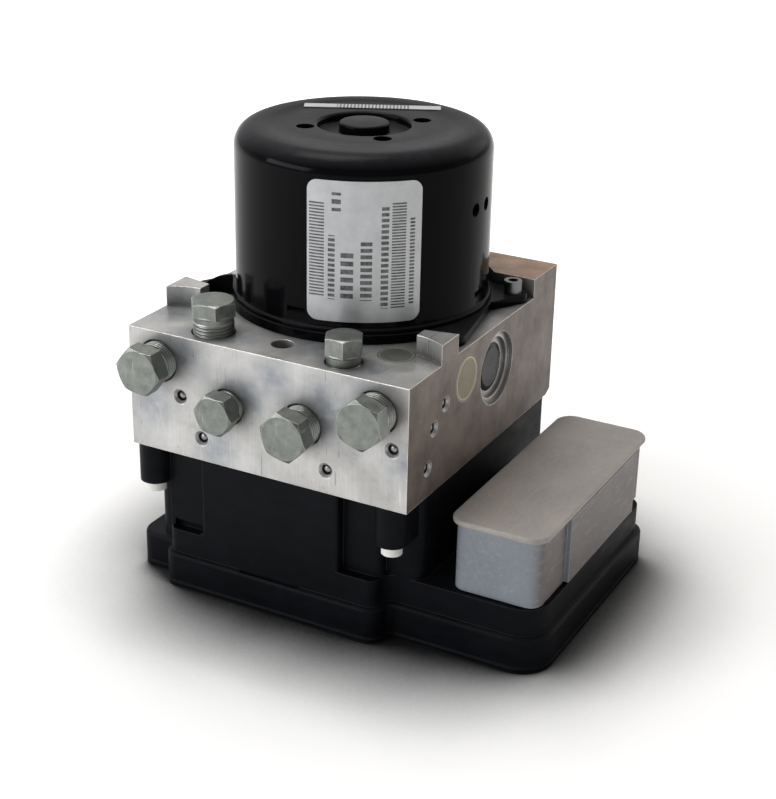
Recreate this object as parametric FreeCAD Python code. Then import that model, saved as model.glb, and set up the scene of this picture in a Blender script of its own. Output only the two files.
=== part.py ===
import FreeCAD, Part
import os
from math import asin, atan2, cos, hypot, pi, radians, sin, sqrt, tan

os.makedirs("parts", exist_ok=True)

# Brake pressure module, all sizes in mm.
# Origin: where the motor axis meets the plane the module rests on.
# X to the connector side, Y to the back, Z up the motor axis.

# Levels, from the rest plane up
COVER_T = 2.2            # thickness of the bottom cover
LEDGE_Z = 11.5           # top of the flange round the controller
WING_Z = 20.1            # top of the connector wing
CAP_SKIRT_Z = WING_Z + 0.3
BOSS_Z = 34.5            # underside of the controller's screw bosses
BLOCK_Z = 47.0           # controller meets valve block
BLOCK_H = 43.1           # full height of the block
MILL_H = 37.2            # height of the milled level
MILL_Z = BLOCK_Z + MILL_H
BLOCK_TOP = BLOCK_Z + BLOCK_H
MOTOR_TOP = 137.5

# Valve block
BLOCK_X = 45.6           # half width
BLOCK_FRONT = -56.0
BLOCK_BACK = 42.2
STRIP_Y = 25.2           # front edge of the unmilled back strip
POCKET_GAP = 1.0         # milled pocket's clearance round the motor flange
BACK_CHAMFER = (2.6, 1.5)
LUG_IN_X = 35.9
LUG_FRONT_IN = -33.4
LUG_FRONT_OUT = -37.1
LUG_BACK = -26.8
LUG_HOLLOW = 0.9         # depth of the hollow in the lug's front face
LUG_CHAMFER = (3.9, 3.5, 2.4)
CUT_OVER = 2.0           # how far a cutting shape reaches past the surface it cuts

# Ports: (x, height over block bottom) on the front, (x, y) on top
PORTS_M12 = [(-35.7, 28.2), (12.1, 19.0), (35.7, 28.2)]
PORTS_M10 = [(-12.3, 19.0)]
TOP_M12 = (-22.0, -47.3)
TOP_M10 = (21.1, -48.1)
TOP_PORT_DEPTH = 12.0
PORT_DEPTH = 15.0
PORT_MOUTH = 0.5         # chamfer at each port's mouth
PORT_FEED_R = 2.2
PORT_FEED_L = 5.0
THREAD_FIT = 0.05        # radial clearance of a screwed or running fit

# Hex plugs: thread radius, across flats, shank length, neck, head, turned angles
M12 = {"r": 5.95, "af": 13.0, "shank": 10.0, "neck": 4.9, "head": 5.5}
M10 = {"r": 4.95, "af": 11.0, "shank": 10.0, "neck": 2.6, "head": 5.4}
TOP_NECK_M12 = 5.3
TOP_HEAD_M12 = 4.4
TOP_AF_M12 = 12.0
TOP_AF_M10 = 10.0
HEX_TURNS_FRONT = [52.0, 46.0, 40.0]
HEX_TURN_SMALL = 54.0
HEX_TURN_TOP_M12 = 8.0
HEX_TURN_TOP_M10 = 56.0
HEX_SLOPE = 0.58         # rise of the chamfer on a hexagon head, for each unit across
PLUG_TIP = 0.45          # radius of a plug's end, for each unit of its shank

# Threaded mounting hole on top and the pressed disc beside it
MOUNT_HOLE = (0.0, -45.7)
MOUNT_HOLE_R = 3.3
MOUNT_HOLE_DEPTH = 14.0
TOP_DISC = (31.2, -36.4)
TOP_DISC_R = 5.3
TOP_DISC_T = 2.4

# Ball plugs: (x or y, height), hole radius
BALLS_FRONT = [(-28.3, 18.6), (-21.3, 7.0), (20.0, 7.0), (40.7, 18.2)]
BALLS_SIDE = [(-33.6, 24.6), (-40.5, 19.7), (-43.7, 8.8)]
BALL_R = 1.55
BALL_HOLE_DEPTH = 8.0
BALL_SINK = 2.3
BALL_CHAMFER = 0.8

# Damper disc in the right face
DAMPER = (-20.5, 27.5)
DAMPER_R = 6.8
DAMPER_T = 2.8

# Pump, along X
PUMP_Z = BLOCK_Z + 23.3
PUMP_STEP_R = 11.1
PUMP_STEP_DEPTH = 1.3
PUMP_SEAT_R = 9.3
PUMP_SEAT_DEPTH = 2.4
PUMP_PLUG_R = 7.4
PUMP_PLUG_IN = 36.0      # inner end of the plug's bore
PUMP_PLUG_T = 6.8
PUMP_PLUG_SINK = 2.0
PUMP_PLUG_RIM = (1.47, 0.4)  # sunk rim of the plug, in from its side and deep
PUMP_BORE_R = 6.0
PUMP_SLEEVE_R = 4.05
PUMP_SLEEVE_IN = 15.4
PUMP_PISTON_L = 17.0
PISTON_GUIDE = 1.8       # radius and length of the spigot inside the spring
PISTON_EDGE = 0.8
PUMP_SPRING_R = 2.9
PUMP_SPRING_WIRE = 0.45
SPRING_TURNS = 5
ECC = 1.1                # throw of the eccentric
ECC_R = 5.5
ECC_H = 8.6
RING_R = 8.5
RING_GAP = 0.35          # the piston's stand-off from the eccentric ring
CHAMBER_R = 13.2
CHAMBER_Z = 62.0

# Solenoid valves, two rows of four
VALVE_X = [-30.0, -10.0, 10.0, 30.0]
INLET_Y = -27.0
OUTLET_Y = -4.0
VALVE_R = 5.9
VALVE_UP = 13.0          # depth of a cartridge in the block
DOME_R = 4.7
DOME_IN_R = 3.9
DOME_L = 20.0
DOME_END = 1.0
TAPPET_R = 3.8
TAPPET_L = 11.0
TAPPET_PIN_R = 1.1
TAPPET_PIN_L = 12.0
VALVE_LIFT = 0.4
VALVE_SEAT_R = 0.8

# Low-pressure accumulators, in from the back
ACC_X = 18.0
ACC_Z = 60.0
ACC_R = 9.6
ACC_DEPTH = 22.2
ACC_FIT = 0.08
ACC_PISTON_L = 5.0
ACC_CAP_T = 3.0
ACC_CAP_DISH = (2.9, 1.0)  # dish in the cap, in from its side and deep
ACC_SPRING_R = 6.4
ACC_SPRING_WIRE = 0.7

# Motor
CAN_R = 37.9
CAN_T = 1.6
CAN_ROUND = 6.0
CAN_LIP_OUT = 1.0
CAN_LIP_R = CAN_R + CAN_LIP_OUT
CAN_LIP_T = 1.2
FLANGE_R = 39.8
FLANGE_T = 2.6
EAR_START = (38.6, 8.6)  # a broad ear leaves the round plate here
EAR_SIDE = 44.9
EAR_BACK = 24.6
EAR_BEND_Y = 20.0
EAR_CORNER = 3.6
TAB = (39.2, -19.5)      # plain ear at the right front
TAB_R = 4.8
GUSSET_END = 40.1        # rib on the left front ear, from the can out to here
GUSSET_T = 1.4
GUSSET_HIGH = 6.0
GUSSET_LOW = 1.6
GUSSET_SWELL = 0.7       # how much of its height the rib keeps at half length
MOTOR_SCREW = (40.6, 20.4)
MOTOR_SCREW_R = 1.6
MOTOR_SCREW_HEAD_R = 2.7
MOTOR_SCREW_HEAD_H = 3.8
MOTOR_SCREW_L = 12.0
RECESS_R = 13.5
RECESS_D = 2.6
HUB_R = 7.3
HUB_UP = 0.5
VENT_R = 2.65
VENT_RING = 18.5
VENT_ANGLES = [75.0, 195.0, 315.0]
SIDE_HOLE_R = 2.0
SIDE_HOLES = [-3.4, 7.7]  # degrees from +X
SIDE_HOLE_Z = BLOCK_Z + 71.0
SLOT_ANGLES = [-90.5, 3.0]
SLOT_W = 6.0
SLOT_H = 1.7
SLOT_Z = BLOCK_Z + 44.9
SPIGOT_R = 13.0
SPIGOT_H = 3.4
SEAL_WIRE = 1.0
SEAL_R = 24.0
SHAFT_R = 4.0
MOTOR_GAP = 0.6          # working gap between neighbouring pieces inside the motor
BUSH_R = 8.2
BUSH_FIT = 0.04
TOP_JOURNAL_R = 3.0
TOP_BUSH_R = 5.6
TOP_BUSH_H = 3.6
MAGNET_T = 4.85
MAGNET_IN = CAN_R - CAN_T - THREAD_FIT - MAGNET_T
MAGNET_SPAN = 148.0
MAGNET_ANGLES = [90.0, 270.0]
MAGNET_H = 34.0
MAGNET_Z = 97.0
AIR_GAP = 1.0
CORE_R = MAGNET_IN - AIR_GAP
CORE_Z = 102.4
CORE_H = 23.0
SLOTS = 12
SLOT_ROOT_R = 13.0
TOOTH_W = 5.0
SHOE_T = 2.2
SHOE_GAP = 2.4
END_TURN_H = 4.6
END_TURN_IN = 11.0
END_TURN_INSET = 2.9
END_TURN_OUT = CORE_R - END_TURN_INSET
COMM_R = 9.0
COMM_H = 8.0
COMM_Z = 89.4
COMM_BARS = 12
COMM_CUT = 0.6
PLATE_INSET = 2.3
PLATE_R = CAN_R - CAN_T - PLATE_INSET
PLATE_T = 2.0
PLATE_HOLE_R = 10.4
PLATE_FEET = [45.0, 135.0, 225.0, 315.0]
BRUSH = (10.0, 5.0, 5.0)
BRUSH_GAP = 0.3
BRUSH_WEAR = 2.0
HOLDER_WALL = 0.8
HOLDER_L = 17.0
BRUSH_SPRING_R = 1.8
BRUSH_SPRING_WIRE = 0.35

# Motor leads down through the block
LEAD_INSET = 4.0
LEAD_Y = PLATE_R - LEAD_INSET
LEAD_PITCH = 3.4
LEAD_R = 0.9
LEAD_SLEEVE_R = 3.4
LEAD_HOLE_R = 3.45

# Controller housing
CORE_X = 45.3
CORE_FRONT = -52.0
CORE_BACK = 40.8
CORNER_R = 4.0
NOSE_LEFT = -37.4        # left and right end of the full-depth front
NOSE_RIGHT = 34.0
NOSE_ROUND = 3.2
NOSE_HOLLOW = 3.4
NICHE_X = 21.8           # the front wall steps back right of here
NICHE_Y = -48.6
NICHE_ROUND = 2.4
PANEL = (-24.2, 1.4)     # sunk panel left of here, and how deep
SNAP_SLOT = (-35.4, -25.3, 19.2, 22.2, 1.8)  # x and z spans below the panel, and how deep
WING_X = 81.8
WING_FRONT = -45.0
WING_BACK = 36.4
WING_R = 9.0
WING_BACK_R = 6.0
EDGE_R = 1.0
LEDGE_OUT = 1.4          # how far the flange stands out of the walls
LEDGE_ROUND = 1.2
LEDGE_STEPS = 3
LEFT_LEDGE_X = -51.7
WALL = 2.4
RIM = 2.8
DECK_Z = 23.0            # the valve coils stand on this floor
SCREWS_FRONT = [(-41.3, -51.2), (38.9, -51.2)]
SCREWS_BACK = [(-33.0, 36.6), (33.0, 36.6)]
BOSS_R = 4.8
SCREW_R = 1.9
SCREW_HEAD_R = 3.05
SCREW_HEAD_H = 3.3
SCREW_BITE = 9.0
SCOOP_R = 4.2
ROOM_BACK = 8.0          # what the lower room leaves at the back and along the wing
ROOM_SIDE = 2.0
RIM_SLOT = (-11.5, 8.8, 0.9, 2.6)  # x span, width and depth of the slot along the wall
GASKET_W = 1.2
GASKET_D = 1.0
GASKET_IN = 0.85         # from the housing's edge to the gasket
TONGUE_H = 1.4           # tongue of the cover inside the housing
TONGUE_T = 1.6
TONGUE_GAP = 0.3
SEAM = 0.5

# Connector and its protective cap
SHROUD = (56.4, 77.4, -39.6, 33.0)
SHROUD_TOP = 38.0
SHROUD_T = 1.8
SHROUD_R = 3.0
PIN_ROWS = [62.6, 71.2]
PIN_COUNT = 13
PIN_PITCH = 5.0
PIN_W = 1.0
PIN_TOP = 32.0
CAP = (53.7, 80.4, -43.3, 36.9)
CAP_T = 1.3
CAP_LID_Z = 40.9
CAP_LID_T = 1.8
CAP_LID_ROUND = 0.72
CAP_LIP = 1.4
CAP_R = 4.2
CAP_PANEL = (-24.2, 26.7, 1.4)
CAP_NOTCH = 1.6

# Controller insides
BOARD_Z = 8.0
BOARD_T = 1.6
BOARD_IN = 1.0
# Corner x and y, length, width and height of each box on the board, then the centres of the cans
BOARD_BOXES = [(-14.0, -42.0, 20.0, 8.5, 2.2), (-34.0, 4.0, 14.0, 12.0, 2.6),
               (10.0, 10.0, 16.0, 14.0, 4.0), (53.0, -12.0, 7.0, 16.0, 3.0)]
BOARD_CANS = [(-12.0, 14.0), (-2.0, 14.0)]
BOARD_CAN_R = 3.6
BOARD_CAN_H = 6.0
POST_R = 2.2
POST_X = 39.5
POST_Y = [-34.0, 24.0]
COIL_R = 8.6
COIL_H = 20.0
COIL_Z = DECK_Z
COIL_WALL = 0.9
COIL_END = 1.6
COIL_BORE = 5.0
WIND_R = 7.5
WIND_IN = 5.3
COIL_PIN_R = 0.4
COIL_PIN_X = 5.0

# Labels
LABEL_T = 0.15
LABEL_ANGLE = (-85.0, -36.0)
LABEL_Z = (90.2, 131.0)
LABEL_CORNER = 3.0
TOP_LABEL = (-7.2, 18.0, 41.0, 4.2, 27.0)  # centre x, y, length, width, turned


def vec(x, y, z):
    return FreeCAD.Vector(x, y, z)


UP = vec(0, 0, 1)
ORIGIN = vec(0, 0, 0)


def cyl(r, h, at=ORIGIN, along=UP):
    return Part.makeCylinder(r, h, at, along)


def cone(r1, r2, h, at=ORIGIN, along=UP):
    return Part.makeCone(r1, r2, h, at, along)


def box(x0, x1, y0, y1, z0, z1):
    return Part.makeBox(x1 - x0, y1 - y0, z1 - z0, vec(x0, y0, z0))


def fuse(shapes):
    first, rest = shapes[0], shapes[1:]
    return first.multiFuse(rest).removeSplitter() if rest else first


def cut(shape, tools):
    return shape.cut(tools) if tools else shape


def rounded_wire(corners):
    """Closed wire through (x, y, radius) corners, each corner rounded by its radius."""
    edges, spans = [], []
    count = len(corners)
    for i, (x, y, r) in enumerate(corners):
        p = vec(x, y, 0)
        a = vec(*corners[i - 1][:2], 0) - p
        b = vec(*corners[(i + 1) % count][:2], 0) - p
        a.normalize()
        b.normalize()
        if r == 0:
            spans.append((p, p, p))
            continue
        half = a.getAngle(b) / 2
        middle = a + b
        middle.normalize()
        reach = r / tan(half)
        spans.append((p + a * reach, p + middle * (r / sin(half) - r), p + b * reach))
    for i, (start, mid, end) in enumerate(spans):
        if start != end:
            edges.append(Part.Arc(start, mid, end).toShape())
        after = spans[(i + 1) % count][0]
        if end.distanceToPoint(after) > 1e-6:
            edges.append(Part.makeLine(end, after))
    return Part.Wire(edges)


def prism(corners, z0, z1):
    face = Part.Face(rounded_wire(corners))
    face.translate(vec(0, 0, z0))
    return face.extrude(vec(0, 0, z1 - z0))


def rect(x0, x1, y0, y1, r):
    return [(x0, y0, r), (x1, y0, r), (x1, y1, r), (x0, y1, r)]


def revolve(profile, at=ORIGIN):
    """Full turn about Z of (radius, height) points."""
    points = [vec(r, 0, z) for r, z in profile]
    solid = Part.Face(Part.makePolygon(points + points[:1])).revolve(ORIGIN, UP, 360)
    solid.translate(at)
    return solid


def aimed(shape, at, along):
    """The shape, made round +Z at the origin, moved to a place and turned to a direction."""
    turned = shape.copy()
    turned.Placement = FreeCAD.Placement(at, FreeCAD.Rotation(UP, along))
    return turned


def turned(shape, degrees, at=ORIGIN):
    out = shape.copy()
    out.rotate(at, UP, degrees)
    return out


def polar(r, degrees, z=0.0):
    return vec(r * cos(radians(degrees)), r * sin(radians(degrees)), z)


def coil_spring(radius, wire, turns, length, at, along):
    helix = Part.makeHelix(length / turns, length, radius)
    ring = Part.Wire(Part.makeCircle(wire, vec(radius, 0, 0), vec(0, 1, 0)))
    solid = Part.Wire(helix).makePipeShell([ring], True, True)
    return aimed(solid, at, along)


def pair(make):
    """The left and the right one of a piece that the module has twice."""
    return Part.makeCompound([make(-1), make(1)])


def save(name, shape):
    shape.exportStep("parts/" + name + ".step")


# Valve block

def lug(side):
    """Standing corner of the block, with a hollow front and a chamfered tip."""
    inner_back = (LUG_IN_X * side, LUG_BACK - LUG_CHAMFER[0] / 2)
    outer_back = (BLOCK_X * side, LUG_BACK)
    outer_front = (BLOCK_X * side, LUG_FRONT_OUT)
    inner_front = (LUG_IN_X * side, LUG_FRONT_IN)
    mid = ((outer_front[0] + inner_front[0]) / 2, (outer_front[1] + inner_front[1]) / 2 + LUG_HOLLOW)
    at = [vec(*p, MILL_Z) for p in (inner_back, outer_back, outer_front, mid, inner_front)]
    edges = [Part.makeLine(at[0], at[1]), Part.makeLine(at[1], at[2]),
             Part.Arc(at[2], at[3], at[4]).toShape(), Part.makeLine(at[4], at[0])]
    body = Part.Face(Part.Wire(edges)).extrude(vec(0, 0, BLOCK_TOP - MILL_Z))
    along_x, along_y, down = LUG_CHAMFER
    tip = vec(*outer_front, BLOCK_TOP)
    out_x, out_y = tip.x + side * CUT_OVER, tip.y - CUT_OVER
    high = BLOCK_TOP + CUT_OVER / 2
    corners = [vec(out_x, out_y, BLOCK_TOP - down), vec(tip.x - side * along_x, out_y, high),
               vec(out_x, tip.y + along_y, high)]
    apex = vec(out_x, out_y, BLOCK_TOP + 2 * CUT_OVER)
    return body.cut(pyramid(corners, apex))


def pyramid(base, apex):
    faces = [Part.Face(Part.makePolygon([base[0], base[1], base[2], base[0]]))]
    for i in range(len(base)):
        a, b = base[i], base[(i + 1) % len(base)]
        faces.append(Part.Face(Part.makePolygon([a, b, apex, a])))
    return Part.makeSolid(Part.makeShell(faces))


def port_bore(r, depth, at, along):
    """Tapped port with a chamfered mouth, a cone floor and a feed drilling."""
    mouth = cone(r + THREAD_FIT + PORT_MOUTH, r + THREAD_FIT, PORT_MOUTH)
    wall = cyl(r + THREAD_FIT, depth)
    floor = cone(r + THREAD_FIT, PORT_FEED_R, r - PORT_FEED_R, vec(0, 0, depth))
    feed = cyl(PORT_FEED_R, PORT_FEED_L, vec(0, 0, depth))
    return aimed(fuse([mouth, wall, floor, feed]), at, along)


def ball_hole(at, along):
    mouth = cone(BALL_R + BALL_CHAMFER, BALL_R, BALL_CHAMFER)
    return aimed(fuse([mouth, cyl(BALL_R, BALL_HOLE_DEPTH)]), at, along)


def ball_places():
    """Mouth and inward direction of every ball plug's hole."""
    front = [(vec(x, BLOCK_FRONT, BLOCK_Z + h), vec(0, 1, 0)) for x, h in BALLS_FRONT]
    side = [(vec(BLOCK_X, y, BLOCK_Z + h), vec(-1, 0, 0)) for y, h in BALLS_SIDE]
    return front + side


def valve_places():
    return [(x, y) for y in (INLET_Y, OUTLET_Y) for x in VALVE_X]


def pump_bore(side):
    """Stepped bore of one pump piston, from the side face into the eccentric's chamber."""
    profile = [(0, 0), (PUMP_STEP_R, 0), (PUMP_STEP_R, PUMP_STEP_DEPTH),
               (PUMP_SEAT_R, PUMP_STEP_DEPTH), (PUMP_SEAT_R, PUMP_SEAT_DEPTH),
               (PUMP_PLUG_R, PUMP_SEAT_DEPTH), (PUMP_PLUG_R, BLOCK_X - PUMP_PLUG_IN),
               (PUMP_BORE_R, BLOCK_X - PUMP_PLUG_IN), (PUMP_BORE_R, BLOCK_X), (0, BLOCK_X)]
    return aimed(revolve(profile), vec(side * BLOCK_X, 0, PUMP_Z), vec(-side, 0, 0))


def screw_places():
    """Controller screws: x, y."""
    return SCREWS_FRONT + SCREWS_BACK


def motor_screw_places():
    """Motor screws: x, y, in the two ears at the back."""
    x, y = MOTOR_SCREW
    return [(x, y), (-x, y)]


def valve_block():
    body = box(-BLOCK_X, BLOCK_X, BLOCK_FRONT, BLOCK_BACK, BLOCK_Z, MILL_Z)
    strip = box(-BLOCK_X, BLOCK_X, STRIP_Y, BLOCK_BACK, MILL_Z, BLOCK_TOP)
    strip = strip.cut(cyl(FLANGE_R + POCKET_GAP, BLOCK_H, vec(0, 0, MILL_Z)))
    block = fuse([body, strip, lug(1), lug(-1)])
    tools = [port_bore(M12["r"], PORT_DEPTH, vec(x, BLOCK_FRONT, BLOCK_Z + h), vec(0, 1, 0))
             for x, h in PORTS_M12]
    tools += [port_bore(M10["r"], PORT_DEPTH, vec(x, BLOCK_FRONT, BLOCK_Z + h), vec(0, 1, 0))
              for x, h in PORTS_M10]
    tools.append(port_bore(M12["r"], TOP_PORT_DEPTH, vec(*TOP_M12, MILL_Z), -UP))
    tools.append(port_bore(M10["r"], TOP_PORT_DEPTH, vec(*TOP_M10, MILL_Z), -UP))
    tools.append(cyl(MOUNT_HOLE_R, MOUNT_HOLE_DEPTH, vec(*MOUNT_HOLE, MILL_Z), -UP))
    tools.append(cyl(TOP_DISC_R, TOP_DISC_T, vec(*TOP_DISC, MILL_Z), -UP))
    tools += [ball_hole(at, along) for at, along in ball_places()]
    tools.append(cyl(DAMPER_R, DAMPER_T, vec(BLOCK_X, DAMPER[0], BLOCK_Z + DAMPER[1]), vec(-1, 0, 0)))
    tools += [pump_bore(1), pump_bore(-1)]
    tools.append(cyl(CHAMBER_R, MILL_Z - CHAMBER_Z, vec(0, 0, CHAMBER_Z)))
    tools += [cyl(VALVE_R + THREAD_FIT, VALVE_UP, vec(x, y, BLOCK_Z)) for x, y in valve_places()]
    tools += [cyl(ACC_R + ACC_FIT, ACC_DEPTH, vec(s * ACC_X, BLOCK_BACK, ACC_Z), vec(0, -1, 0))
              for s in (-1, 1)]
    tools.append(cyl(LEAD_HOLE_R, MILL_H, vec(0, LEAD_Y, BLOCK_Z)))
    tools += [cyl(MOTOR_SCREW_R, MOTOR_SCREW_L, vec(x, y, MILL_Z), -UP)
              for x, y in motor_screw_places()]
    tools += [cyl(SCREW_R, SCREW_BITE, vec(x, y, BLOCK_Z)) for x, y in screw_places()]
    back, up = BACK_CHAMFER
    wedge = Part.Face(Part.makePolygon([
        vec(-BLOCK_X, BLOCK_BACK, BLOCK_Z), vec(-BLOCK_X, BLOCK_BACK - back, BLOCK_Z),
        vec(-BLOCK_X, BLOCK_BACK, BLOCK_Z + up), vec(-BLOCK_X, BLOCK_BACK, BLOCK_Z)]))
    tools.append(wedge.extrude(vec(2 * BLOCK_X, 0, 0)))
    return cut(block, tools)


def hex_plug(size, af, neck, head, at, outward, turn):
    """Screwed plug: shank with a cone end, bare neck and a chamfered hexagon head."""
    r = size["r"]
    tip = r * PLUG_TIP
    shank = revolve([(0, -size["shank"]), (tip, -size["shank"]), (r, tip - size["shank"]),
                     (r, neck), (0, neck)])
    corner = af / sqrt(3)
    points = [polar(corner, 60 * i + turn, neck) for i in range(6)]
    prism6 = Part.Face(Part.makePolygon(points + points[:1])).extrude(vec(0, 0, head))
    flat = af / 2
    end = neck + head
    slope = (corner - flat) * HEX_SLOPE
    dome = revolve([(0, neck), (corner, neck), (corner, end - slope), (flat, end), (0, end)])
    return aimed(fuse([shank, prism6.common(dome)]), at, outward)


def front_plug(size, place, turn):
    x, h = place
    at = vec(x, BLOCK_FRONT, BLOCK_Z + h)
    return hex_plug(size, size["af"], size["neck"], size["head"], at, vec(0, -1, 0), turn)


def port_plugs_m12():
    plugs = [front_plug(M12, place, turn) for place, turn in zip(PORTS_M12, HEX_TURNS_FRONT)]
    at = vec(*TOP_M12, MILL_Z)
    plugs.append(hex_plug(M12, TOP_AF_M12, TOP_NECK_M12, TOP_HEAD_M12, at, UP, HEX_TURN_TOP_M12))
    return Part.makeCompound(plugs)


def port_plugs_m10():
    plugs = [front_plug(M10, place, HEX_TURN_SMALL) for place in PORTS_M10]
    at = vec(*TOP_M10, MILL_Z)
    plugs.append(hex_plug(M10, TOP_AF_M10, M10["neck"], M10["head"], at, UP, HEX_TURN_TOP_M10))
    return Part.makeCompound(plugs)


def ball_plugs():
    return Part.makeCompound([Part.makeSphere(BALL_R, at + along * BALL_SINK)
                              for at, along in ball_places()])


def top_disc():
    return cyl(TOP_DISC_R, TOP_DISC_T, vec(*TOP_DISC, MILL_Z), -UP)


def damper_disc():
    return cyl(DAMPER_R, DAMPER_T, vec(BLOCK_X, DAMPER[0], BLOCK_Z + DAMPER[1]), vec(-1, 0, 0))


# Pump

def pump_plug(side):
    r = PUMP_PLUG_R - THREAD_FIT
    inset, deep = PUMP_PLUG_RIM
    profile = [(0, PUMP_PLUG_SINK), (r - inset, PUMP_PLUG_SINK), (r, PUMP_PLUG_SINK + deep),
               (r, PUMP_PLUG_SINK + PUMP_PLUG_T), (0, PUMP_PLUG_SINK + PUMP_PLUG_T)]
    return aimed(revolve(profile), vec(side * BLOCK_X, 0, PUMP_Z), vec(-side, 0, 0))


def pump_in():
    """Nearest the pistons come to the motor axis."""
    return RING_R + ECC + RING_GAP


def pump_sleeve(side):
    length = PUMP_PLUG_IN - PUMP_SLEEVE_IN
    tube = cyl(PUMP_BORE_R - THREAD_FIT, length).cut(cyl(PUMP_SLEEVE_R, length))
    return aimed(tube, vec(side * PUMP_SLEEVE_IN, 0, PUMP_Z), vec(side, 0, 0))


def pump_piston(side):
    r = PUMP_SLEEVE_R - THREAD_FIT
    end = PUMP_PISTON_L + PISTON_GUIDE
    profile = [(0, 0), (r - PISTON_EDGE, 0), (r, PISTON_EDGE), (r, PUMP_PISTON_L),
               (PISTON_GUIDE, PUMP_PISTON_L), (PISTON_GUIDE, end), (0, end)]
    return aimed(revolve(profile), vec(side * pump_in(), 0, PUMP_Z), vec(side, 0, 0))


def pump_spring(side):
    """Return spring between the piston's shoulder and the plug."""
    start = pump_in() + PUMP_PISTON_L + PUMP_SPRING_WIRE
    end = BLOCK_X - PUMP_PLUG_SINK - PUMP_PLUG_T - PUMP_SPRING_WIRE
    return coil_spring(PUMP_SPRING_R, PUMP_SPRING_WIRE, SPRING_TURNS, end - start,
                       vec(side * start, 0, PUMP_Z), vec(side, 0, 0))


# Accumulators

def acc_at(side, y):
    return vec(side * ACC_X, y, ACC_Z)


def acc_floor():
    return BLOCK_BACK - ACC_DEPTH + ACC_FIT


def accumulator_piston(side):
    hollow = ACC_R - 1.5 * ACC_SPRING_WIRE - 1
    skirt = ACC_PISTON_L
    profile = [(0, 0), (ACC_R, 0), (ACC_R, skirt), (hollow, skirt), (hollow, skirt / 2), (0, skirt / 2)]
    return aimed(revolve(profile), acc_at(side, acc_floor()), vec(0, 1, 0))


def accumulator_spring(side):
    start = acc_floor() + ACC_PISTON_L / 2 + ACC_SPRING_WIRE
    end = BLOCK_BACK - ACC_CAP_T - ACC_SPRING_WIRE
    return coil_spring(ACC_SPRING_R, ACC_SPRING_WIRE, SPRING_TURNS, end - start,
                       acc_at(side, start), vec(0, 1, 0))


def accumulator_cap(side):
    r = ACC_R + ACC_FIT
    inset, deep = ACC_CAP_DISH
    dish = r - inset
    profile = [(0, 0), (r, 0), (r, ACC_CAP_T), (dish, ACC_CAP_T), (dish - deep, ACC_CAP_T - deep),
               (0, ACC_CAP_T - deep)]
    return aimed(revolve(profile), acc_at(side, BLOCK_BACK - ACC_CAP_T), vec(0, 1, 0))


# Valves

def valve_cartridge(x, y):
    """Pressed body in the block with its dome hanging down into the coil."""
    pin = TAPPET_PIN_R + THREAD_FIT
    neck = BLOCK_Z - DOME_END
    end = BLOCK_Z - DOME_L
    stop = BLOCK_Z + TAPPET_PIN_L / 4
    profile = [(0, end), (DOME_R, end), (DOME_R, neck), (VALVE_R, neck), (VALVE_R, BLOCK_Z + VALVE_UP),
               (VALVE_SEAT_R, BLOCK_Z + VALVE_UP), (VALVE_SEAT_R, valve_seat_z()),
               (pin, valve_seat_z()), (pin, stop), (DOME_IN_R, stop), (DOME_IN_R, end + DOME_END),
               (0, end + DOME_END)]
    return revolve(profile, vec(x, y, 0))


def tappet_z():
    """Underside of a valve's armature at rest, clear of the dome's floor."""
    return BLOCK_Z - DOME_L + DOME_END + THREAD_FIT + VALVE_LIFT * 2


def valve_seat_z():
    return tappet_z() + TAPPET_L + TAPPET_PIN_L + VALVE_LIFT + THREAD_FIT


def valve_tappet(x, y, lift):
    """Magnet armature with its pin, raised by a lift from the open place."""
    r = TAPPET_R
    low = tappet_z() + lift
    top = low + TAPPET_L
    profile = [(0, low), (r - VALVE_LIFT, low), (r, low + VALVE_LIFT), (r, top),
               (TAPPET_PIN_R, top), (TAPPET_PIN_R, top + TAPPET_PIN_L - TAPPET_PIN_R),
               (VALVE_LIFT, top + TAPPET_PIN_L), (0, top + TAPPET_PIN_L)]
    return revolve(profile, vec(x, y, 0))


def valves(row_y):
    return Part.makeCompound([valve_cartridge(x, row_y) for x in VALVE_X])


# Motor

def tab_plan(top):
    """Plain ear of the motor's flange, joined to it by tangent sides."""
    x, y = TAB
    tilt = atan2(y, x)
    lean = asin((FLANGE_R - TAB_R) / hypot(x, y))
    points = []
    for side in (-1, 1):
        out = vec(cos(tilt + side * (pi / 2 - lean)), sin(tilt + side * (pi / 2 - lean)), 0)
        root, tip = out * FLANGE_R, vec(x, y, 0) + out * TAB_R
        points += [root, tip] if side < 0 else [tip, root]
    web = Part.Face(Part.makePolygon([ORIGIN] + points + [ORIGIN])).extrude(vec(0, 0, top - MILL_Z))
    web.translate(vec(0, 0, MILL_Z))
    web = web.common(box(0, EAR_SIDE, -EAR_BACK, EAR_BACK, MILL_Z, top))
    return [web, cyl(TAB_R, top - MILL_Z, vec(x, y, MILL_Z))]


def broad_ear(top):
    """Broad ear, in its place at the right back."""
    x, y = EAR_START
    return prism([(0, 0, 0), (x, y, EAR_CORNER), (EAR_SIDE, EAR_BEND_Y, EAR_CORNER),
                  (EAR_SIDE, EAR_BACK, EAR_CORNER), (0, EAR_BACK, 0)], MILL_Z, top)


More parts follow.
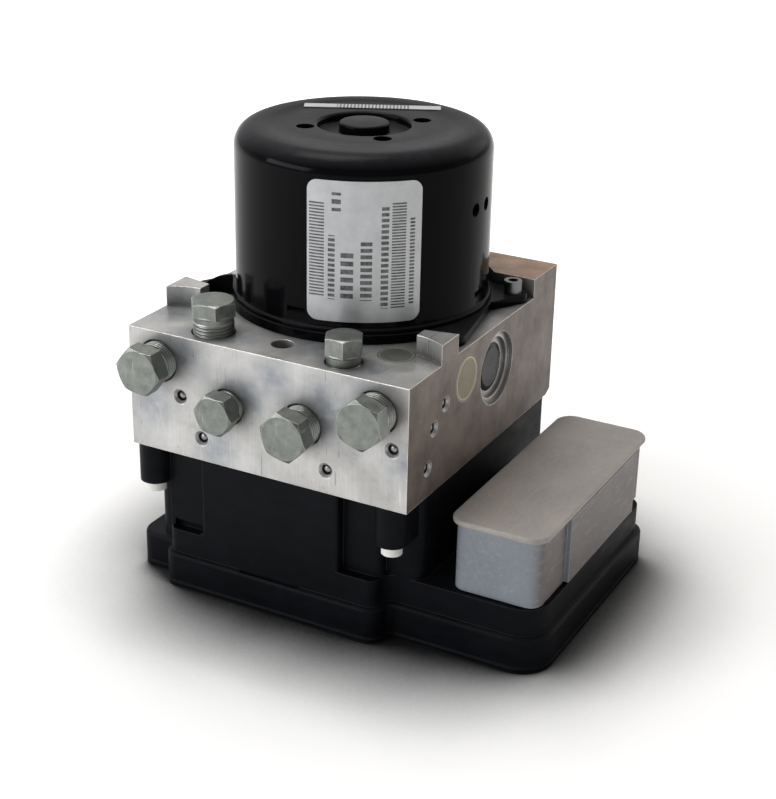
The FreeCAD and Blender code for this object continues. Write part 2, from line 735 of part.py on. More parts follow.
def gusset(top):
    """Rib along a broad ear's back edge that falls away from the can."""
    x0 = sqrt(CAN_LIP_R ** 2 - EAR_BACK ** 2)
    mid = vec((x0 + GUSSET_END) / 2, 0, GUSSET_LOW + (GUSSET_HIGH - GUSSET_LOW) * GUSSET_SWELL)
    corners = [vec(x0, 0, 0), vec(GUSSET_END, 0, 0), vec(GUSSET_END, 0, GUSSET_LOW), vec(x0, 0, GUSSET_HIGH)]
    wire = Part.Wire([Part.makeLine(corners[0], corners[1]), Part.makeLine(corners[1], corners[2]),
                      Part.Arc(corners[2], mid, corners[3]).toShape(), Part.makeLine(corners[3], corners[0])])
    rib = Part.Face(wire).extrude(vec(0, GUSSET_T, 0))
    rib.translate(vec(0, EAR_BACK - GUSSET_T, top))
    return rib.cut(cyl(CAN_LIP_R + THREAD_FIT, GUSSET_HIGH, vec(0, 0, top)))


def motor_flange():
    top = MILL_Z + FLANGE_T
    ear = broad_ear(top)
    ears = [ear, ear.mirror(ORIGIN, vec(1, 0, 0)), turned(ear, 180), turned(gusset(top), 180)] + tab_plan(top)
    spigot = cyl(SPIGOT_R, SPIGOT_H, vec(0, 0, MILL_Z - SPIGOT_H))
    body = fuse([cyl(FLANGE_R, FLANGE_T, vec(0, 0, MILL_Z)), spigot] + ears)
    tools = [cyl(MOTOR_SCREW_R + THREAD_FIT, FLANGE_T, vec(x, y, MILL_Z)) for x, y in motor_screw_places()]
    tools.append(cyl(BUSH_R, FLANGE_T + SPIGOT_H, vec(0, 0, MILL_Z - SPIGOT_H)))
    tools.append(cyl(LEAD_SLEEVE_R, FLANGE_T, vec(0, LEAD_Y, MILL_Z)))
    return body.cut(tools + [motor_seal()])


def motor_seal():
    """Flat ring seal in the flange's underside."""
    top = MILL_Z + SEAL_WIRE
    return revolve([(SEAL_R - SEAL_WIRE, MILL_Z), (SEAL_R + SEAL_WIRE, MILL_Z),
                    (SEAL_R + SEAL_WIRE, top), (SEAL_R - SEAL_WIRE, top)])


def can_profile():
    """Outline of the drawn can, outside then inside, from its lip to the hub."""
    z0 = MILL_Z + FLANGE_T
    inner = CAN_R - CAN_T
    roof = MOTOR_TOP - CAN_T
    bead = CAN_ROUND - CAN_T
    steps = 4
    outer_arc = [(CAN_R - CAN_ROUND + CAN_ROUND * cos(pi / 2 * i / steps),
                  MOTOR_TOP - CAN_ROUND + CAN_ROUND * sin(pi / 2 * i / steps)) for i in range(steps + 1)]
    inner_arc = [(inner - bead + bead * cos(pi / 2 * i / steps),
                  roof - bead + bead * sin(pi / 2 * i / steps)) for i in range(steps, -1, -1)]
    floor = MOTOR_TOP - RECESS_D
    slope = CAN_T / 2
    outside = [(CAN_LIP_R, z0), (CAN_LIP_R, z0 + CAN_LIP_T), (CAN_R, z0 + CAN_LIP_T + slope)] + outer_arc
    outside += [(RECESS_R + slope, MOTOR_TOP), (RECESS_R, floor), (HUB_R, floor),
                (HUB_R, MOTOR_TOP + HUB_UP - slope), (HUB_R - slope, MOTOR_TOP + HUB_UP),
                (0, MOTOR_TOP + HUB_UP)]
    below = floor - CAN_T
    bush_top = top_bush_z() + TOP_BUSH_H
    inside = [(0, bush_top), (TOP_BUSH_R, bush_top), (TOP_BUSH_R, top_bush_z()), (HUB_R, top_bush_z()),
              (HUB_R, below), (RECESS_R + CAN_T, below), (RECESS_R + CAN_T, roof)] + inner_arc
    return outside + inside + [(inner, z0)]


def top_bush_z():
    return MOTOR_TOP - RECESS_D - CAN_T - MOTOR_GAP


def motor_can():
    can = revolve(can_profile())
    drop = vec(0, 0, -CAN_T * 3)
    tools = [cyl(VENT_R, CAN_T * 3, polar(VENT_RING, a, MOTOR_TOP) + drop) for a in VENT_ANGLES]
    for a in SIDE_HOLES:
        out = polar(1, a)
        tools.append(cyl(SIDE_HOLE_R, CAN_T * 3, polar(CAN_R - CAN_T * 2, a, SIDE_HOLE_Z), out))
    for a in SLOT_ANGLES:
        slot = box(CAN_R - CAN_T * 2, CAN_R + CAN_T, -SLOT_W / 2, SLOT_W / 2,
                   SLOT_Z - SLOT_H / 2, SLOT_Z + SLOT_H / 2)
        tools.append(turned(slot, a))
    return can.cut(tools)


def motor_screws():
    seat = MILL_Z + FLANGE_T
    shank = MOTOR_SCREW_L + FLANGE_T - MOTOR_SCREW_R
    screws = []
    for x, y in motor_screw_places():
        stem = cyl(MOTOR_SCREW_R - THREAD_FIT, shank, vec(x, y, seat), -UP)
        head = cyl(MOTOR_SCREW_HEAD_R, MOTOR_SCREW_HEAD_H, vec(x, y, seat))
        drive = hexagon(MOTOR_SCREW_R, MOTOR_SCREW_HEAD_H / 2, vec(x, y, seat + MOTOR_SCREW_HEAD_H / 2))
        screws.append(fuse([stem, head]).cut(drive))
    return Part.makeCompound(screws)


def hexagon(corner, height, at):
    points = [polar(corner, 60 * i) + at for i in range(6)]
    return Part.Face(Part.makePolygon(points + points[:1])).extrude(vec(0, 0, height))


def motor_magnets():
    arcs = []
    outer = CAN_R - CAN_T - THREAD_FIT
    for middle in MAGNET_ANGLES:
        start = middle - MAGNET_SPAN / 2
        ring = revolve([(MAGNET_IN, MAGNET_Z), (outer, MAGNET_Z), (outer, MAGNET_Z + MAGNET_H),
                        (MAGNET_IN, MAGNET_Z + MAGNET_H)])
        reach = outer / cos(radians(MAGNET_SPAN / 4)) + CUT_OVER
        points = [ORIGIN] + [polar(reach, start + MAGNET_SPAN * k / 2) for k in range(3)]
        wedge = Part.Face(Part.makePolygon(points + points[:1])).extrude(vec(0, 0, MOTOR_TOP))
        arcs.append(ring.common(wedge))
    return Part.makeCompound(arcs)


def armature_core():
    """Slotted stack of laminations on the shaft."""
    hub = cyl(SLOT_ROOT_R, CORE_H, vec(0, 0, CORE_Z))
    shoe = cyl(CORE_R, CORE_H, vec(0, 0, CORE_Z)).cut(cyl(CORE_R - SHOE_T, CORE_H, vec(0, 0, CORE_Z)))
    pieces = [hub]
    for i in range(SLOTS):
        tooth = box(SLOT_ROOT_R - SHOE_T / 2, CORE_R - SHOE_T / 2, -TOOTH_W / 2, TOOTH_W / 2, CORE_Z, CORE_Z + CORE_H)
        pieces.append(turned(tooth, 360 * i / SLOTS))
    opening = box(CORE_R - SHOE_T * 2, CORE_R + CUT_OVER, -SHOE_GAP / 2, SHOE_GAP / 2, CORE_Z, CORE_Z + CORE_H)
    gaps = [turned(opening, 360 * (i + 0.5) / SLOTS) for i in range(SLOTS)]
    core = fuse(pieces + [shoe.cut(gaps)])
    return core.cut(cyl(SHAFT_R, CORE_H, vec(0, 0, CORE_Z)))


def armature_winding():
    """Copper end turns above and below the stack."""
    rings = []
    ease = END_TURN_H / 4
    for z0 in (CORE_Z - END_TURN_H, CORE_Z + CORE_H):
        z1 = z0 + END_TURN_H
        rings.append(revolve([(END_TURN_IN, z0 + ease), (END_TURN_IN + ease, z0), (END_TURN_OUT - ease, z0),
                              (END_TURN_OUT, z0 + ease), (END_TURN_OUT, z1 - ease),
                              (END_TURN_OUT - ease, z1), (END_TURN_IN + ease, z1),
                              (END_TURN_IN, z1 - ease)]))
    return Part.makeCompound(rings)


def commutator():
    drum = cyl(COMM_R, COMM_H, vec(0, 0, COMM_Z)).cut(cyl(SHAFT_R, COMM_H, vec(0, 0, COMM_Z)))
    cuts = [turned(box(COMM_R - COMM_CUT * 2, COMM_R + CUT_OVER, -COMM_CUT / 2, COMM_CUT / 2,
                       COMM_Z, COMM_Z + COMM_H), 360 * i / COMM_BARS) for i in range(COMM_BARS)]
    return drum.cut(cuts)


def ecc_z():
    return PUMP_Z - ECC_H / 2


def motor_shaft():
    """Armature shaft with the eccentric on its lower end, thrown to the back at rest."""
    top = top_bush_z() + TOP_BUSH_H - MOTOR_GAP
    shoulder = top_bush_z() - MOTOR_GAP
    stem = revolve([(0, ecc_z() + ECC_H), (SHAFT_R, ecc_z() + ECC_H), (SHAFT_R, shoulder),
                    (TOP_JOURNAL_R, shoulder), (TOP_JOURNAL_R, top), (0, top)])
    lobe = cyl(ECC_R, ECC_H, vec(0, ECC, ecc_z()))
    tail = cyl(SHAFT_R - ECC, ECC, vec(0, 0, ecc_z() - ECC))
    return fuse([stem, lobe, tail])


def eccentric_ring():
    height = ECC_H - 2 * THREAD_FIT
    ring = cyl(RING_R, height).cut(cyl(ECC_R + BUSH_FIT, height))
    ring.translate(vec(0, ECC, ecc_z() + THREAD_FIT))
    return ring


def flange_bush():
    low = MILL_Z - SPIGOT_H
    height = FLANGE_T + SPIGOT_H
    return cyl(BUSH_R, height, vec(0, 0, low)).cut(cyl(SHAFT_R + BUSH_FIT, height, vec(0, 0, low)))


def top_bush():
    at = vec(0, 0, top_bush_z())
    return cyl(TOP_BUSH_R, TOP_BUSH_H, at).cut(cyl(TOP_JOURNAL_R + BUSH_FIT, TOP_BUSH_H, at))


def plate_z():
    return MILL_Z + FLANGE_T + MOTOR_GAP


def brush_z():
    """Underside of the carbon brushes, at mid height of the commutator."""
    return COMM_Z + (COMM_H - BRUSH[2]) / 2


def brush_start():
    return COMM_R + BRUSH_GAP


def holder(side):
    """Open-ended box that guides one carbon brush."""
    w, h = BRUSH[1] / 2 + THREAD_FIT, BRUSH[2] / 2 + THREAD_FIT
    mid = brush_z() + BRUSH[2] / 2
    x0 = brush_start() + BRUSH_WEAR
    x1 = x0 + HOLDER_L
    half, low, high = w + HOLDER_WALL, plate_z() + PLATE_T - MOTOR_GAP, mid + h + HOLDER_WALL
    outer = box(x0, x1, -half, half, low, high)
    inner = box(x0, x1 - HOLDER_WALL, -w, w, mid - h, mid + h)
    return turned(outer.cut(inner), 0 if side > 0 else 180)


def brush_plate():
    """Insulating plate with both brush holders and the lead socket."""
    plate = cyl(PLATE_R, PLATE_T, vec(0, 0, plate_z()))
    feet = [cyl(POST_R, MOTOR_GAP, polar(PLATE_R - 2 * POST_R, a, MILL_Z + FLANGE_T)) for a in PLATE_FEET]
    body = fuse([plate, holder(1), holder(-1)] + feet)
    holes = [cyl(PLATE_HOLE_R, PLATE_T, vec(0, 0, plate_z()))]
    holes += [cyl(LEAD_R, PLATE_T, vec(s * LEAD_PITCH / 2, LEAD_Y, plate_z())) for s in (-1, 1)]
    return body.cut(holes)


def carbon_brush(side):
    length, width, height = BRUSH
    x0 = brush_start()
    brush = box(x0, x0 + length, -width / 2, width / 2, brush_z(), brush_z() + height)
    brush = brush.cut(cyl(COMM_R + BRUSH_GAP, height, vec(0, 0, brush_z())))
    return turned(brush, 0 if side > 0 else 180)


def brush_spring(side):
    start = brush_start() + BRUSH[0] + BRUSH_SPRING_WIRE
    end = brush_start() + BRUSH_WEAR + HOLDER_L - HOLDER_WALL - BRUSH_SPRING_WIRE
    return coil_spring(BRUSH_SPRING_R, BRUSH_SPRING_WIRE, SPRING_TURNS, end - start,
                       vec(side * start, 0, brush_z() + BRUSH[2] / 2), vec(side, 0, 0))


def lead_pins():
    low, high = BOARD_Z + BOARD_T, plate_z() + PLATE_T
    return Part.makeCompound([cyl(LEAD_R, high - low, vec(s * LEAD_PITCH / 2, LEAD_Y, low)) for s in (-1, 1)])


def lead_sleeve():
    low = BLOCK_Z - COIL_END
    high = MILL_Z + FLANGE_T
    body = cyl(LEAD_SLEEVE_R, high - low, vec(0, LEAD_Y, low))
    return body.cut([cyl(LEAD_R, high - low, vec(s * LEAD_PITCH / 2, LEAD_Y, low)) for s in (-1, 1)])


# Controller

def foot_outline(grow):
    """Outline of the lower body: full-depth front, notches for the front screws, connector wing."""
    front = CORE_FRONT - grow
    shoulder = WING_FRONT - grow
    left = LEFT_LEDGE_X if grow > 0 else -CORE_X
    nose_left, nose_right = NOSE_LEFT - grow, NOSE_RIGHT + grow
    back = CORE_BACK + grow
    wing, wing_back = WING_X + grow, WING_BACK + grow
    swell, hollow = NOSE_ROUND + grow, NOSE_HOLLOW - grow
    return [(left, shoulder, CORNER_R), (nose_left, shoulder, hollow), (nose_left, front, swell),
            (nose_right, front, swell), (nose_right, shoulder, hollow), (wing, shoulder, WING_R + grow),
            (wing, wing_back, WING_BACK_R), (CORE_X + grow, wing_back, EDGE_R),
            (CORE_X + grow, back, CORNER_R), (left, back, CORNER_R)]


def scoop(x, y):
    """Clearance for a screwdriver below a back boss, open to the back."""
    return fuse([cyl(SCOOP_R, BOSS_Z, vec(x, y, 0)), box(x - SCOOP_R, x + SCOOP_R, y, BLOCK_BACK, 0, BOSS_Z)])


def front_boss(x, y):
    """Screw boss with a web to the front wall."""
    return fuse([cyl(BOSS_R, BLOCK_Z - BOSS_Z, vec(x, y, BOSS_Z)),
                 box(x - BOSS_R, x + BOSS_R, y, WING_FRONT + RIM / 2, BOSS_Z, BLOCK_Z)])


def back_boss(x, y):
    return cyl(BOSS_R, BLOCK_Z - BOSS_Z, vec(x, y, BOSS_Z)).common(
        box(-BLOCK_X, BLOCK_X, 0, CORE_BACK, BOSS_Z, BLOCK_Z))


def nose():
    """Full-depth front with its niche, sunk panel and snap slot."""
    root = WING_FRONT + RIM / 2
    wall = prism([(NOSE_LEFT, root, 0), (NOSE_LEFT, CORE_FRONT, NOSE_ROUND), (NICHE_X, CORE_FRONT, EDGE_R),
                  (NICHE_X, NICHE_Y, 0), (NOSE_RIGHT, NICHE_Y, NICHE_ROUND), (NOSE_RIGHT, root, 0)],
                 COVER_T, BLOCK_Z)
    right, deep = PANEL
    x0, x1, z0, z1, slot_deep = SNAP_SLOT
    panel = box(-BLOCK_X, right, BLOCK_FRONT, CORE_FRONT + deep, WING_Z, BLOCK_Z)
    slot = box(x0, x1, BLOCK_FRONT, CORE_FRONT + deep + slot_deep, z0, z1)
    return wall.cut([panel, slot]), slot


def flange_ring():
    """Flange round the foot, rounded along its upper edge, with a slot along the front wall."""
    levels = [(LEDGE_OUT, COVER_T)]
    for i in range(LEDGE_STEPS + 1):
        turn = pi / 2 * i / LEDGE_STEPS
        levels.append((LEDGE_OUT - LEDGE_ROUND * (1 - cos(turn)), LEDGE_Z - LEDGE_ROUND * (1 - sin(turn))))
    wires = []
    for grow, z in levels:
        wire = rounded_wire(foot_outline(grow))
        wire.translate(vec(0, 0, z))
        wires.append(wire)
    x0, x1, width, down = RIM_SLOT
    slot = box(x0, x1, CORE_FRONT - width, CORE_FRONT, LEDGE_Z - down, LEDGE_Z)
    return Part.makeLoft(wires, True, True).cut(slot)


def controller_outside():
    """Housing before its rooms: walls, stepped front, connector wing, flange and screw bosses."""
    core = prism(rect(-CORE_X, CORE_X, WING_FRONT, CORE_BACK, CORNER_R), COVER_T, BLOCK_Z)
    front, slot = nose()
    foot = prism(foot_outline(0), COVER_T, WING_Z).cut(slot)
    body = fuse([core, front, foot, flange_ring()])
    body = body.cut([scoop(x, y) for x, y in SCREWS_BACK])
    bosses = [front_boss(x, y) for x, y in SCREWS_FRONT] + [back_boss(x, y) for x, y in SCREWS_BACK]
    return fuse([body] + bosses)


def shroud():
    x0, x1, y0, y1 = SHROUD
    return prism(rect(x0, x1, y0, y1, SHROUD_R), WING_Z - WALL / 2, SHROUD_TOP)


def board_outline(gap):
    """Inside of the lower chamber, drawn in by a gap."""
    inset = WALL + gap
    left, right = -CORE_X + inset, WING_X - inset
    front, back = NICHE_Y + inset + WALL, CORE_BACK - inset - ROOM_BACK
    side = WING_FRONT + inset + ROOM_SIDE
    nose_left, nose_right = NOSE_LEFT + inset + SCOOP_R, NOSE_RIGHT - inset - SCOOP_R
    return [(left, side, EDGE_R), (nose_left, side, EDGE_R), (nose_left, front, EDGE_R),
            (nose_right, front, EDGE_R), (nose_right, side, EDGE_R), (right, side, WING_R - inset),
            (right, back, NICHE_ROUND), (left, back, EDGE_R)]


def inside_core(inset):
    """Outline of the core, drawn in."""
    return rect(-CORE_X + inset, CORE_X - inset, WING_FRONT + inset, CORE_BACK - inset, CORNER_R - inset)


def controller_housing():
    body = fuse([controller_outside(), shroud()])
    corners = [cyl(SCOOP_R + WALL, BLOCK_Z, vec(x, y, 0)) for x, y in SCREWS_BACK]
    lower = prism(board_outline(0), COVER_T, WING_Z - WALL)
    under = prism(inside_core(RIM), BOARD_Z, DECK_Z - WALL)
    upper = prism(inside_core(RIM), DECK_Z, BLOCK_Z)
    rooms = [lower.cut(corners), under.cut(corners), upper.cut(corners)]
    x0, x1, y0, y1 = SHROUD
    t = SHROUD_T
    socket = prism(rect(x0 + t, x1 - t, y0 + t, y1 - t, SHROUD_R - t), WING_Z, SHROUD_TOP)
    pin = SCREW_R + THREAD_FIT
    drills = [cyl(pin, BLOCK_Z - BOSS_Z, vec(x, y, BOSS_Z)) for x, y in screw_places()]
    drills += [cyl(COIL_PIN_R, BLOCK_Z, vec(px, py, COVER_T)) for px, py in coil_pin_places()]
    drills.append(cyl(LEAD_SLEEVE_R, BLOCK_Z, vec(0, LEAD_Y, COVER_T)))
    drills += [box(px - PIN_W / 2, px + PIN_W / 2, py - PIN_W / 2, py + PIN_W / 2, BOARD_Z, PIN_TOP)
               for px, py in pin_places()]
    hollow = body.cut(rooms + [socket])
    posts = [cyl(POST_R, top - BOARD_Z - BOARD_T, vec(px, py, BOARD_Z + BOARD_T))
             for px, py, top in post_places()]
    drills.append(gasket_ring())
    return fuse([hollow] + posts).cut(drills)


def gasket_ring():
    low = BLOCK_Z - GASKET_D
    inner = prism(inside_core(GASKET_IN + GASKET_W), low, BLOCK_Z)
    return prism(inside_core(GASKET_IN), low, BLOCK_Z).cut(inner)


def controller_gasket():
    """Sealing cord in the housing's upper rim, parted by the back screws."""
    return gasket_ring().cut([cyl(SCREW_R + THREAD_FIT, BLOCK_Z, vec(x, y, 0)) for x, y in screw_places()])


def controller_cover():
    """Bottom plate with a rounded lower edge and a tongue inside the housing."""
    plan = prism(foot_outline(LEDGE_OUT), SEAM, COVER_T - SEAM)
    low = prism(foot_outline(LEDGE_OUT - SEAM), 0, COVER_T)
    tongue = prism(board_outline(TONGUE_GAP), COVER_T, COVER_T + TONGUE_H)
    inner = prism(board_outline(TONGUE_GAP + TONGUE_T), COVER_T, COVER_T + TONGUE_H)
    corners = [cyl(SCOOP_R + WALL + TONGUE_GAP, BLOCK_Z, vec(x, y, 0)) for x, y in SCREWS_BACK]
    notches = [scoop(x, y) for x, y in SCREWS_BACK]
    return fuse([fuse([plan, low]).cut(notches), tongue.cut([inner] + corners)])


def controller_screws():
    screws = []
    for x, y in screw_places():
        length = BLOCK_Z - BOSS_Z + SCREW_BITE - SCREW_R
        stem = cyl(SCREW_R, length, vec(x, y, BOSS_Z))
        head = cyl(SCREW_HEAD_R, SCREW_HEAD_H, vec(x, y, BOSS_Z), -UP)
        drive = hexagon(SCREW_R, SCREW_HEAD_H / 2, vec(x, y, BOSS_Z - SCREW_HEAD_H))
        screws.append(fuse([stem, head]).cut(drive))
    return Part.makeCompound(screws)


def coil_pin_places():
    return [(x + s * COIL_PIN_X, y) for x, y in valve_places() for s in (-1, 1)]


def post_places():
    """Posts that hold the board: x, y and the level they hang from."""
    core, wing = DECK_Z - WALL / 2, WING_Z - WALL / 2
    return [(x, y, z) for x, z in ((-POST_X, core), (POST_X + BOSS_R * 2, wing)) for y in POST_Y]


def pin_places():
    start = (SHROUD[2] + SHROUD[3]) / 2 - PIN_PITCH * (PIN_COUNT - 1) / 2
    return [(x, start + PIN_PITCH * i) for x in PIN_ROWS for i in range(PIN_COUNT)]


def circuit_board():
    return prism(board_outline(BOARD_IN), BOARD_Z, BOARD_Z + BOARD_T)


def board_parts():
    """Processor, driver, relay block and capacitors on the board."""
    top = BOARD_Z + BOARD_T
    boxes = [box(x, x + length, y, y + width, top, top + high) for x, y, length, width, high in BOARD_BOXES]
    cans = [cyl(BOARD_CAN_R, BOARD_CAN_H, vec(x, y, top)) for x, y in BOARD_CANS]
    return Part.makeCompound(boxes + cans)


def connector_pins():
    top = BOARD_Z + BOARD_T
    half = PIN_W / 2
    pins = []
    for x, y in pin_places():
        rings = []
        for reach, z in ((half, PIN_TOP - PIN_W), (half / 2, PIN_TOP)):
            square = rounded_wire(rect(x - reach, x + reach, y - reach, y + reach, 0))
            square.translate(vec(0, 0, z))
            rings.append(square)
        tip = Part.makeLoft(rings, True, True)
        pins.append(fuse([box(x - half, x + half, y - half, y + half, top, PIN_TOP - PIN_W), tip]))
    return Part.makeCompound(pins)


def coil_yokes():
    """Steel tubes with end rings, one round each valve coil."""
    yokes = []
    for x, y in valve_places():
        profile = [(COIL_BORE, COIL_Z), (COIL_R, COIL_Z), (COIL_R, COIL_Z + COIL_H),
                   (COIL_BORE, COIL_Z + COIL_H), (COIL_BORE, COIL_Z + COIL_H - COIL_END),
                   (COIL_R - COIL_WALL, COIL_Z + COIL_H - COIL_END), (COIL_R - COIL_WALL, COIL_Z + COIL_END),
                   (COIL_BORE, COIL_Z + COIL_END)]
        yoke = revolve(profile, vec(x, y, 0))
        pins = [cyl(COIL_PIN_R, COIL_END, vec(x + s * COIL_PIN_X, y, COIL_Z)) for s in (-1, 1)]
        yokes.append(yoke.cut(pins))
    return Part.makeCompound(yokes)


def coil_windings():
    z0, z1 = COIL_Z + COIL_END, COIL_Z + COIL_H - COIL_END
    return Part.makeCompound([revolve([(WIND_IN, z0), (WIND_R, z0), (WIND_R, z1), (WIND_IN, z1)],
                                      vec(x, y, 0)) for x, y in valve_places()])


def coil_pins():
    low = BOARD_Z + BOARD_T
    return Part.makeCompound([cyl(COIL_PIN_R, COIL_Z + COIL_END - low, vec(x, y, low))
                              for x, y in coil_pin_places()])


def connector_cap():
    """Milky protective cap over the connector, open below, with a lipped lid."""
    x0, x1, y0, y1 = CAP
    p0, p1, out = CAP_PANEL
    walls = prism(rect(x0, x1, y0, y1, CAP_R), CAP_SKIRT_Z, CAP_LID_Z)
    panel = prism(rect(x1 - CAP_R, x1 + out, p0, p1, 0), CAP_SKIRT_Z, CAP_LID_Z)
    lip = CAP_LIP
    lid = prism(rect(x0 - lip, x1 + lip, y0 - lip, y1 + lip, CAP_R + lip), CAP_LID_Z, CAP_LID_Z + CAP_LID_T)
    edges = [e for e in lid.Edges if abs(e.BoundBox.ZMin - e.BoundBox.ZMax) < 1e-6]
    lid = lid.makeFillet(CAP_LID_ROUND, edges)
    t = CAP_T
    room = prism(rect(x0 + t, x1 - t, y0 + t, y1 - t, CAP_R - t), CAP_SKIRT_Z, CAP_LID_Z)
    side = prism(rect(x1 - CAP_R, x1 + out - t, p0 + t, p1 - t, 0), CAP_SKIRT_Z, CAP_LID_Z - t)
    notch = box(x0 - CUT_OVER, x1 + out + CUT_OVER, p1, y1 + CUT_OVER, CAP_SKIRT_Z, CAP_SKIRT_Z + CAP_NOTCH)
    return fuse([walls, panel, lid]).cut([room, side, notch])


# Labels

def side_label():
    """Thin rounded label on the can."""
    z0, z1 = LABEL_Z
    a0, a1 = LABEL_ANGLE
    wrap = cyl(CAN_R + LABEL_T, z1 - z0, vec(0, 0, z0)).cut(cyl(CAN_R, z1 - z0, vec(0, 0, z0)))
    half = CAN_R * sin(radians(a1 - a0) / 2)
    stencil = prism(rect(-half, half, 0, z1 - z0, LABEL_CORNER), 0, CAN_R * 2)
    stencil.rotate(ORIGIN, vec(1, 0, 0), 90)
    stencil.translate(vec(0, 0, z0))
    return wrap.common(turned(stencil, (a0 + a1) / 2 + 90))


def top_label():
    x, y, length, width, turn = TOP_LABEL
    strip = box(-length / 2, length / 2, -width / 2, width / 2, MOTOR_TOP, MOTOR_TOP + LABEL_T)
    strip = turned(strip, turn)
    strip.translate(vec(x, y, 0))
    return strip


def build():
    save("valve_block", valve_block())
    save("port_plugs_m12", port_plugs_m12())
    save("port_plugs_m10", port_plugs_m10())
    save("ball_plugs", ball_plugs())
    save("top_disc", top_disc())
    save("damper_disc", damper_disc())
    for side, name in ((-1, "left"), (1, "right")):
        save("pump_piston_" + name, pump_piston(side))
        save("accumulator_piston_" + name, accumulator_piston(side))
        save("carbon_brush_" + name, carbon_brush(side))
        save("pump_spring_" + name, pump_spring(side))
        save("accumulator_spring_" + name, accumulator_spring(side))
        save("brush_spring_" + name, brush_spring(side))
    save("pump_plugs", pair(pump_plug))
    save("pump_sleeves", pair(pump_sleeve))
    save("accumulator_caps", pair(accumulator_cap))
    save("inlet_valves", valves(INLET_Y))
    save("outlet_valves", valves(OUTLET_Y))
    for number, x in enumerate(VALVE_X, 1):
        save("inlet_tappet_" + str(number), valve_tappet(x, INLET_Y, 0))
        save("outlet_tappet_" + str(number), valve_tappet(x, OUTLET_Y, VALVE_LIFT))
    save("motor_can", motor_can())
    save("motor_flange", motor_flange())
    save("motor_seal", motor_seal())
    save("motor_screws", motor_screws())
    save("motor_magnets", motor_magnets())
    save("armature_core", armature_core())
    save("armature_winding", armature_winding())
    save("commutator", commutator())
    save("motor_shaft", motor_shaft())
    save("eccentric_ring", eccentric_ring())
    save("flange_bush", flange_bush())
    save("top_bush", top_bush())
    save("brush_plate", brush_plate())
    save("lead_pins", lead_pins())
    save("lead_sleeve", lead_sleeve())
    save("controller_housing", controller_housing())
    save("controller_cover", controller_cover())
    save("controller_gasket", controller_gasket())
    save("controller_screws", controller_screws())
    save("circuit_board", circuit_board())
    save("board_parts", board_parts())
    save("connector_pins", connector_pins())
    save("coil_yokes", coil_yokes())
    save("coil_windings", coil_windings())
    save("coil_pins", coil_pins())
    save("connector_cap", connector_cap())
    save("side_label", side_label())
    save("top_label", top_label())


build()
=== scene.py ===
from math import cos, pi, radians, sin, sqrt

import bmesh
import bpy
from bpy.props import FloatProperty, FloatVectorProperty, IntProperty, PointerProperty
from mathutils import Matrix, Vector


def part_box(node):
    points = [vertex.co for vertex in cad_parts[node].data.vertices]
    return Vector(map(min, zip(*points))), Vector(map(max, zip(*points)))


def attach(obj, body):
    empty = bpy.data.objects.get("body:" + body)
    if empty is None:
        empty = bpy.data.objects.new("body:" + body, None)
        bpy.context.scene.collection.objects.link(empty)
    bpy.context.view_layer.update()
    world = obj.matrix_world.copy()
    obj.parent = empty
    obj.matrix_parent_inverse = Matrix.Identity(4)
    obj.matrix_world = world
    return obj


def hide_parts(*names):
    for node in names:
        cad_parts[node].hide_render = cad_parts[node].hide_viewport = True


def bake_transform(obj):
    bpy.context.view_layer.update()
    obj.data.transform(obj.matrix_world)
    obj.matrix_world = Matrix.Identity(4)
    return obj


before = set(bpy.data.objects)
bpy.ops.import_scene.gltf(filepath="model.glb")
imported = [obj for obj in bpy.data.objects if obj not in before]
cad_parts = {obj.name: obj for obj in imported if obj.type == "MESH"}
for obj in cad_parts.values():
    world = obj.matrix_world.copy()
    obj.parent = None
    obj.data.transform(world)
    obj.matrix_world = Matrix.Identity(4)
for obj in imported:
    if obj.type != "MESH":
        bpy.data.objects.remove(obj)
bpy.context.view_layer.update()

bl_info = {
    "name": "Brake Pressure Module",
    "version": (1, 0, 0),
    "blender": (4, 5, 0),
    "location": "View3D > Sidebar > Module",
    "description": "Models and finishes a brake pressure module and its stage",
    "category": "Add Mesh",
}

MM = 0.001
DOUBLE = 0.002 * MM     # closer points are one point
ROOT = "module"
UP = Vector((0, 0, 1))


def low_corner(node):
    """Lowest x, y and z of a CAD node in mm, to a thousandth."""
    return [round(value / MM, 3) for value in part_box(node)[0]]


def high_corner(node):
    """Highest x, y and z of a CAD node in mm, to a thousandth."""
    return [round(value / MM, 3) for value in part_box(node)[1]]


# Faces of the block and the foot of the can in mm, from the construction
BLOCK_Z = low_corner("valve_block")[2]
FRONT_Y = low_corner("valve_block")[1]
SIDE_X = high_corner("valve_block")[0]
MILL_Z = high_corner("top_disc")[2]
CAN_FOOT = low_corner("motor_can")[2]


# Settings

class MotorSettings(bpy.types.PropertyGroup):
    can_radius: FloatProperty(
        name="Can Radius", description="Outer radius of the motor can",
        default=37.9 * MM, min=30 * MM, max=38.6 * MM, unit="LENGTH", precision=5)
    rim_radius: FloatProperty(
        name="Rim Rounding", description="Rounding between the can's wall and its top",
        default=6.0 * MM, min=2 * MM, max=10 * MM, unit="LENGTH", precision=5)
    steps: IntProperty(name="Steps", description="Faces round the can", default=192, min=48, max=384)
    paint: FloatVectorProperty(
        name="Paint", description="Colour of the motor's gloss paint", subtype="COLOR",
        size=3, min=0, max=1, default=(0.0045, 0.0045, 0.0055))


class PlugSettings(bpy.types.PropertyGroup):
    pitch: FloatProperty(
        name="Thread Pitch", description="Pitch of the port plugs' threads",
        default=1.0 * MM, min=0.5 * MM, max=2 * MM, unit="LENGTH", precision=5)
    slope: FloatProperty(
        name="Head Slope", description="Rise of the chamfer on the hexagon heads, for each unit across",
        default=0.58, min=0.2, max=1.2)
    plating: FloatVectorProperty(
        name="Plating", description="Colour of the zinc plating", subtype="COLOR",
        size=3, min=0, max=1, default=(0.178, 0.190, 0.172))


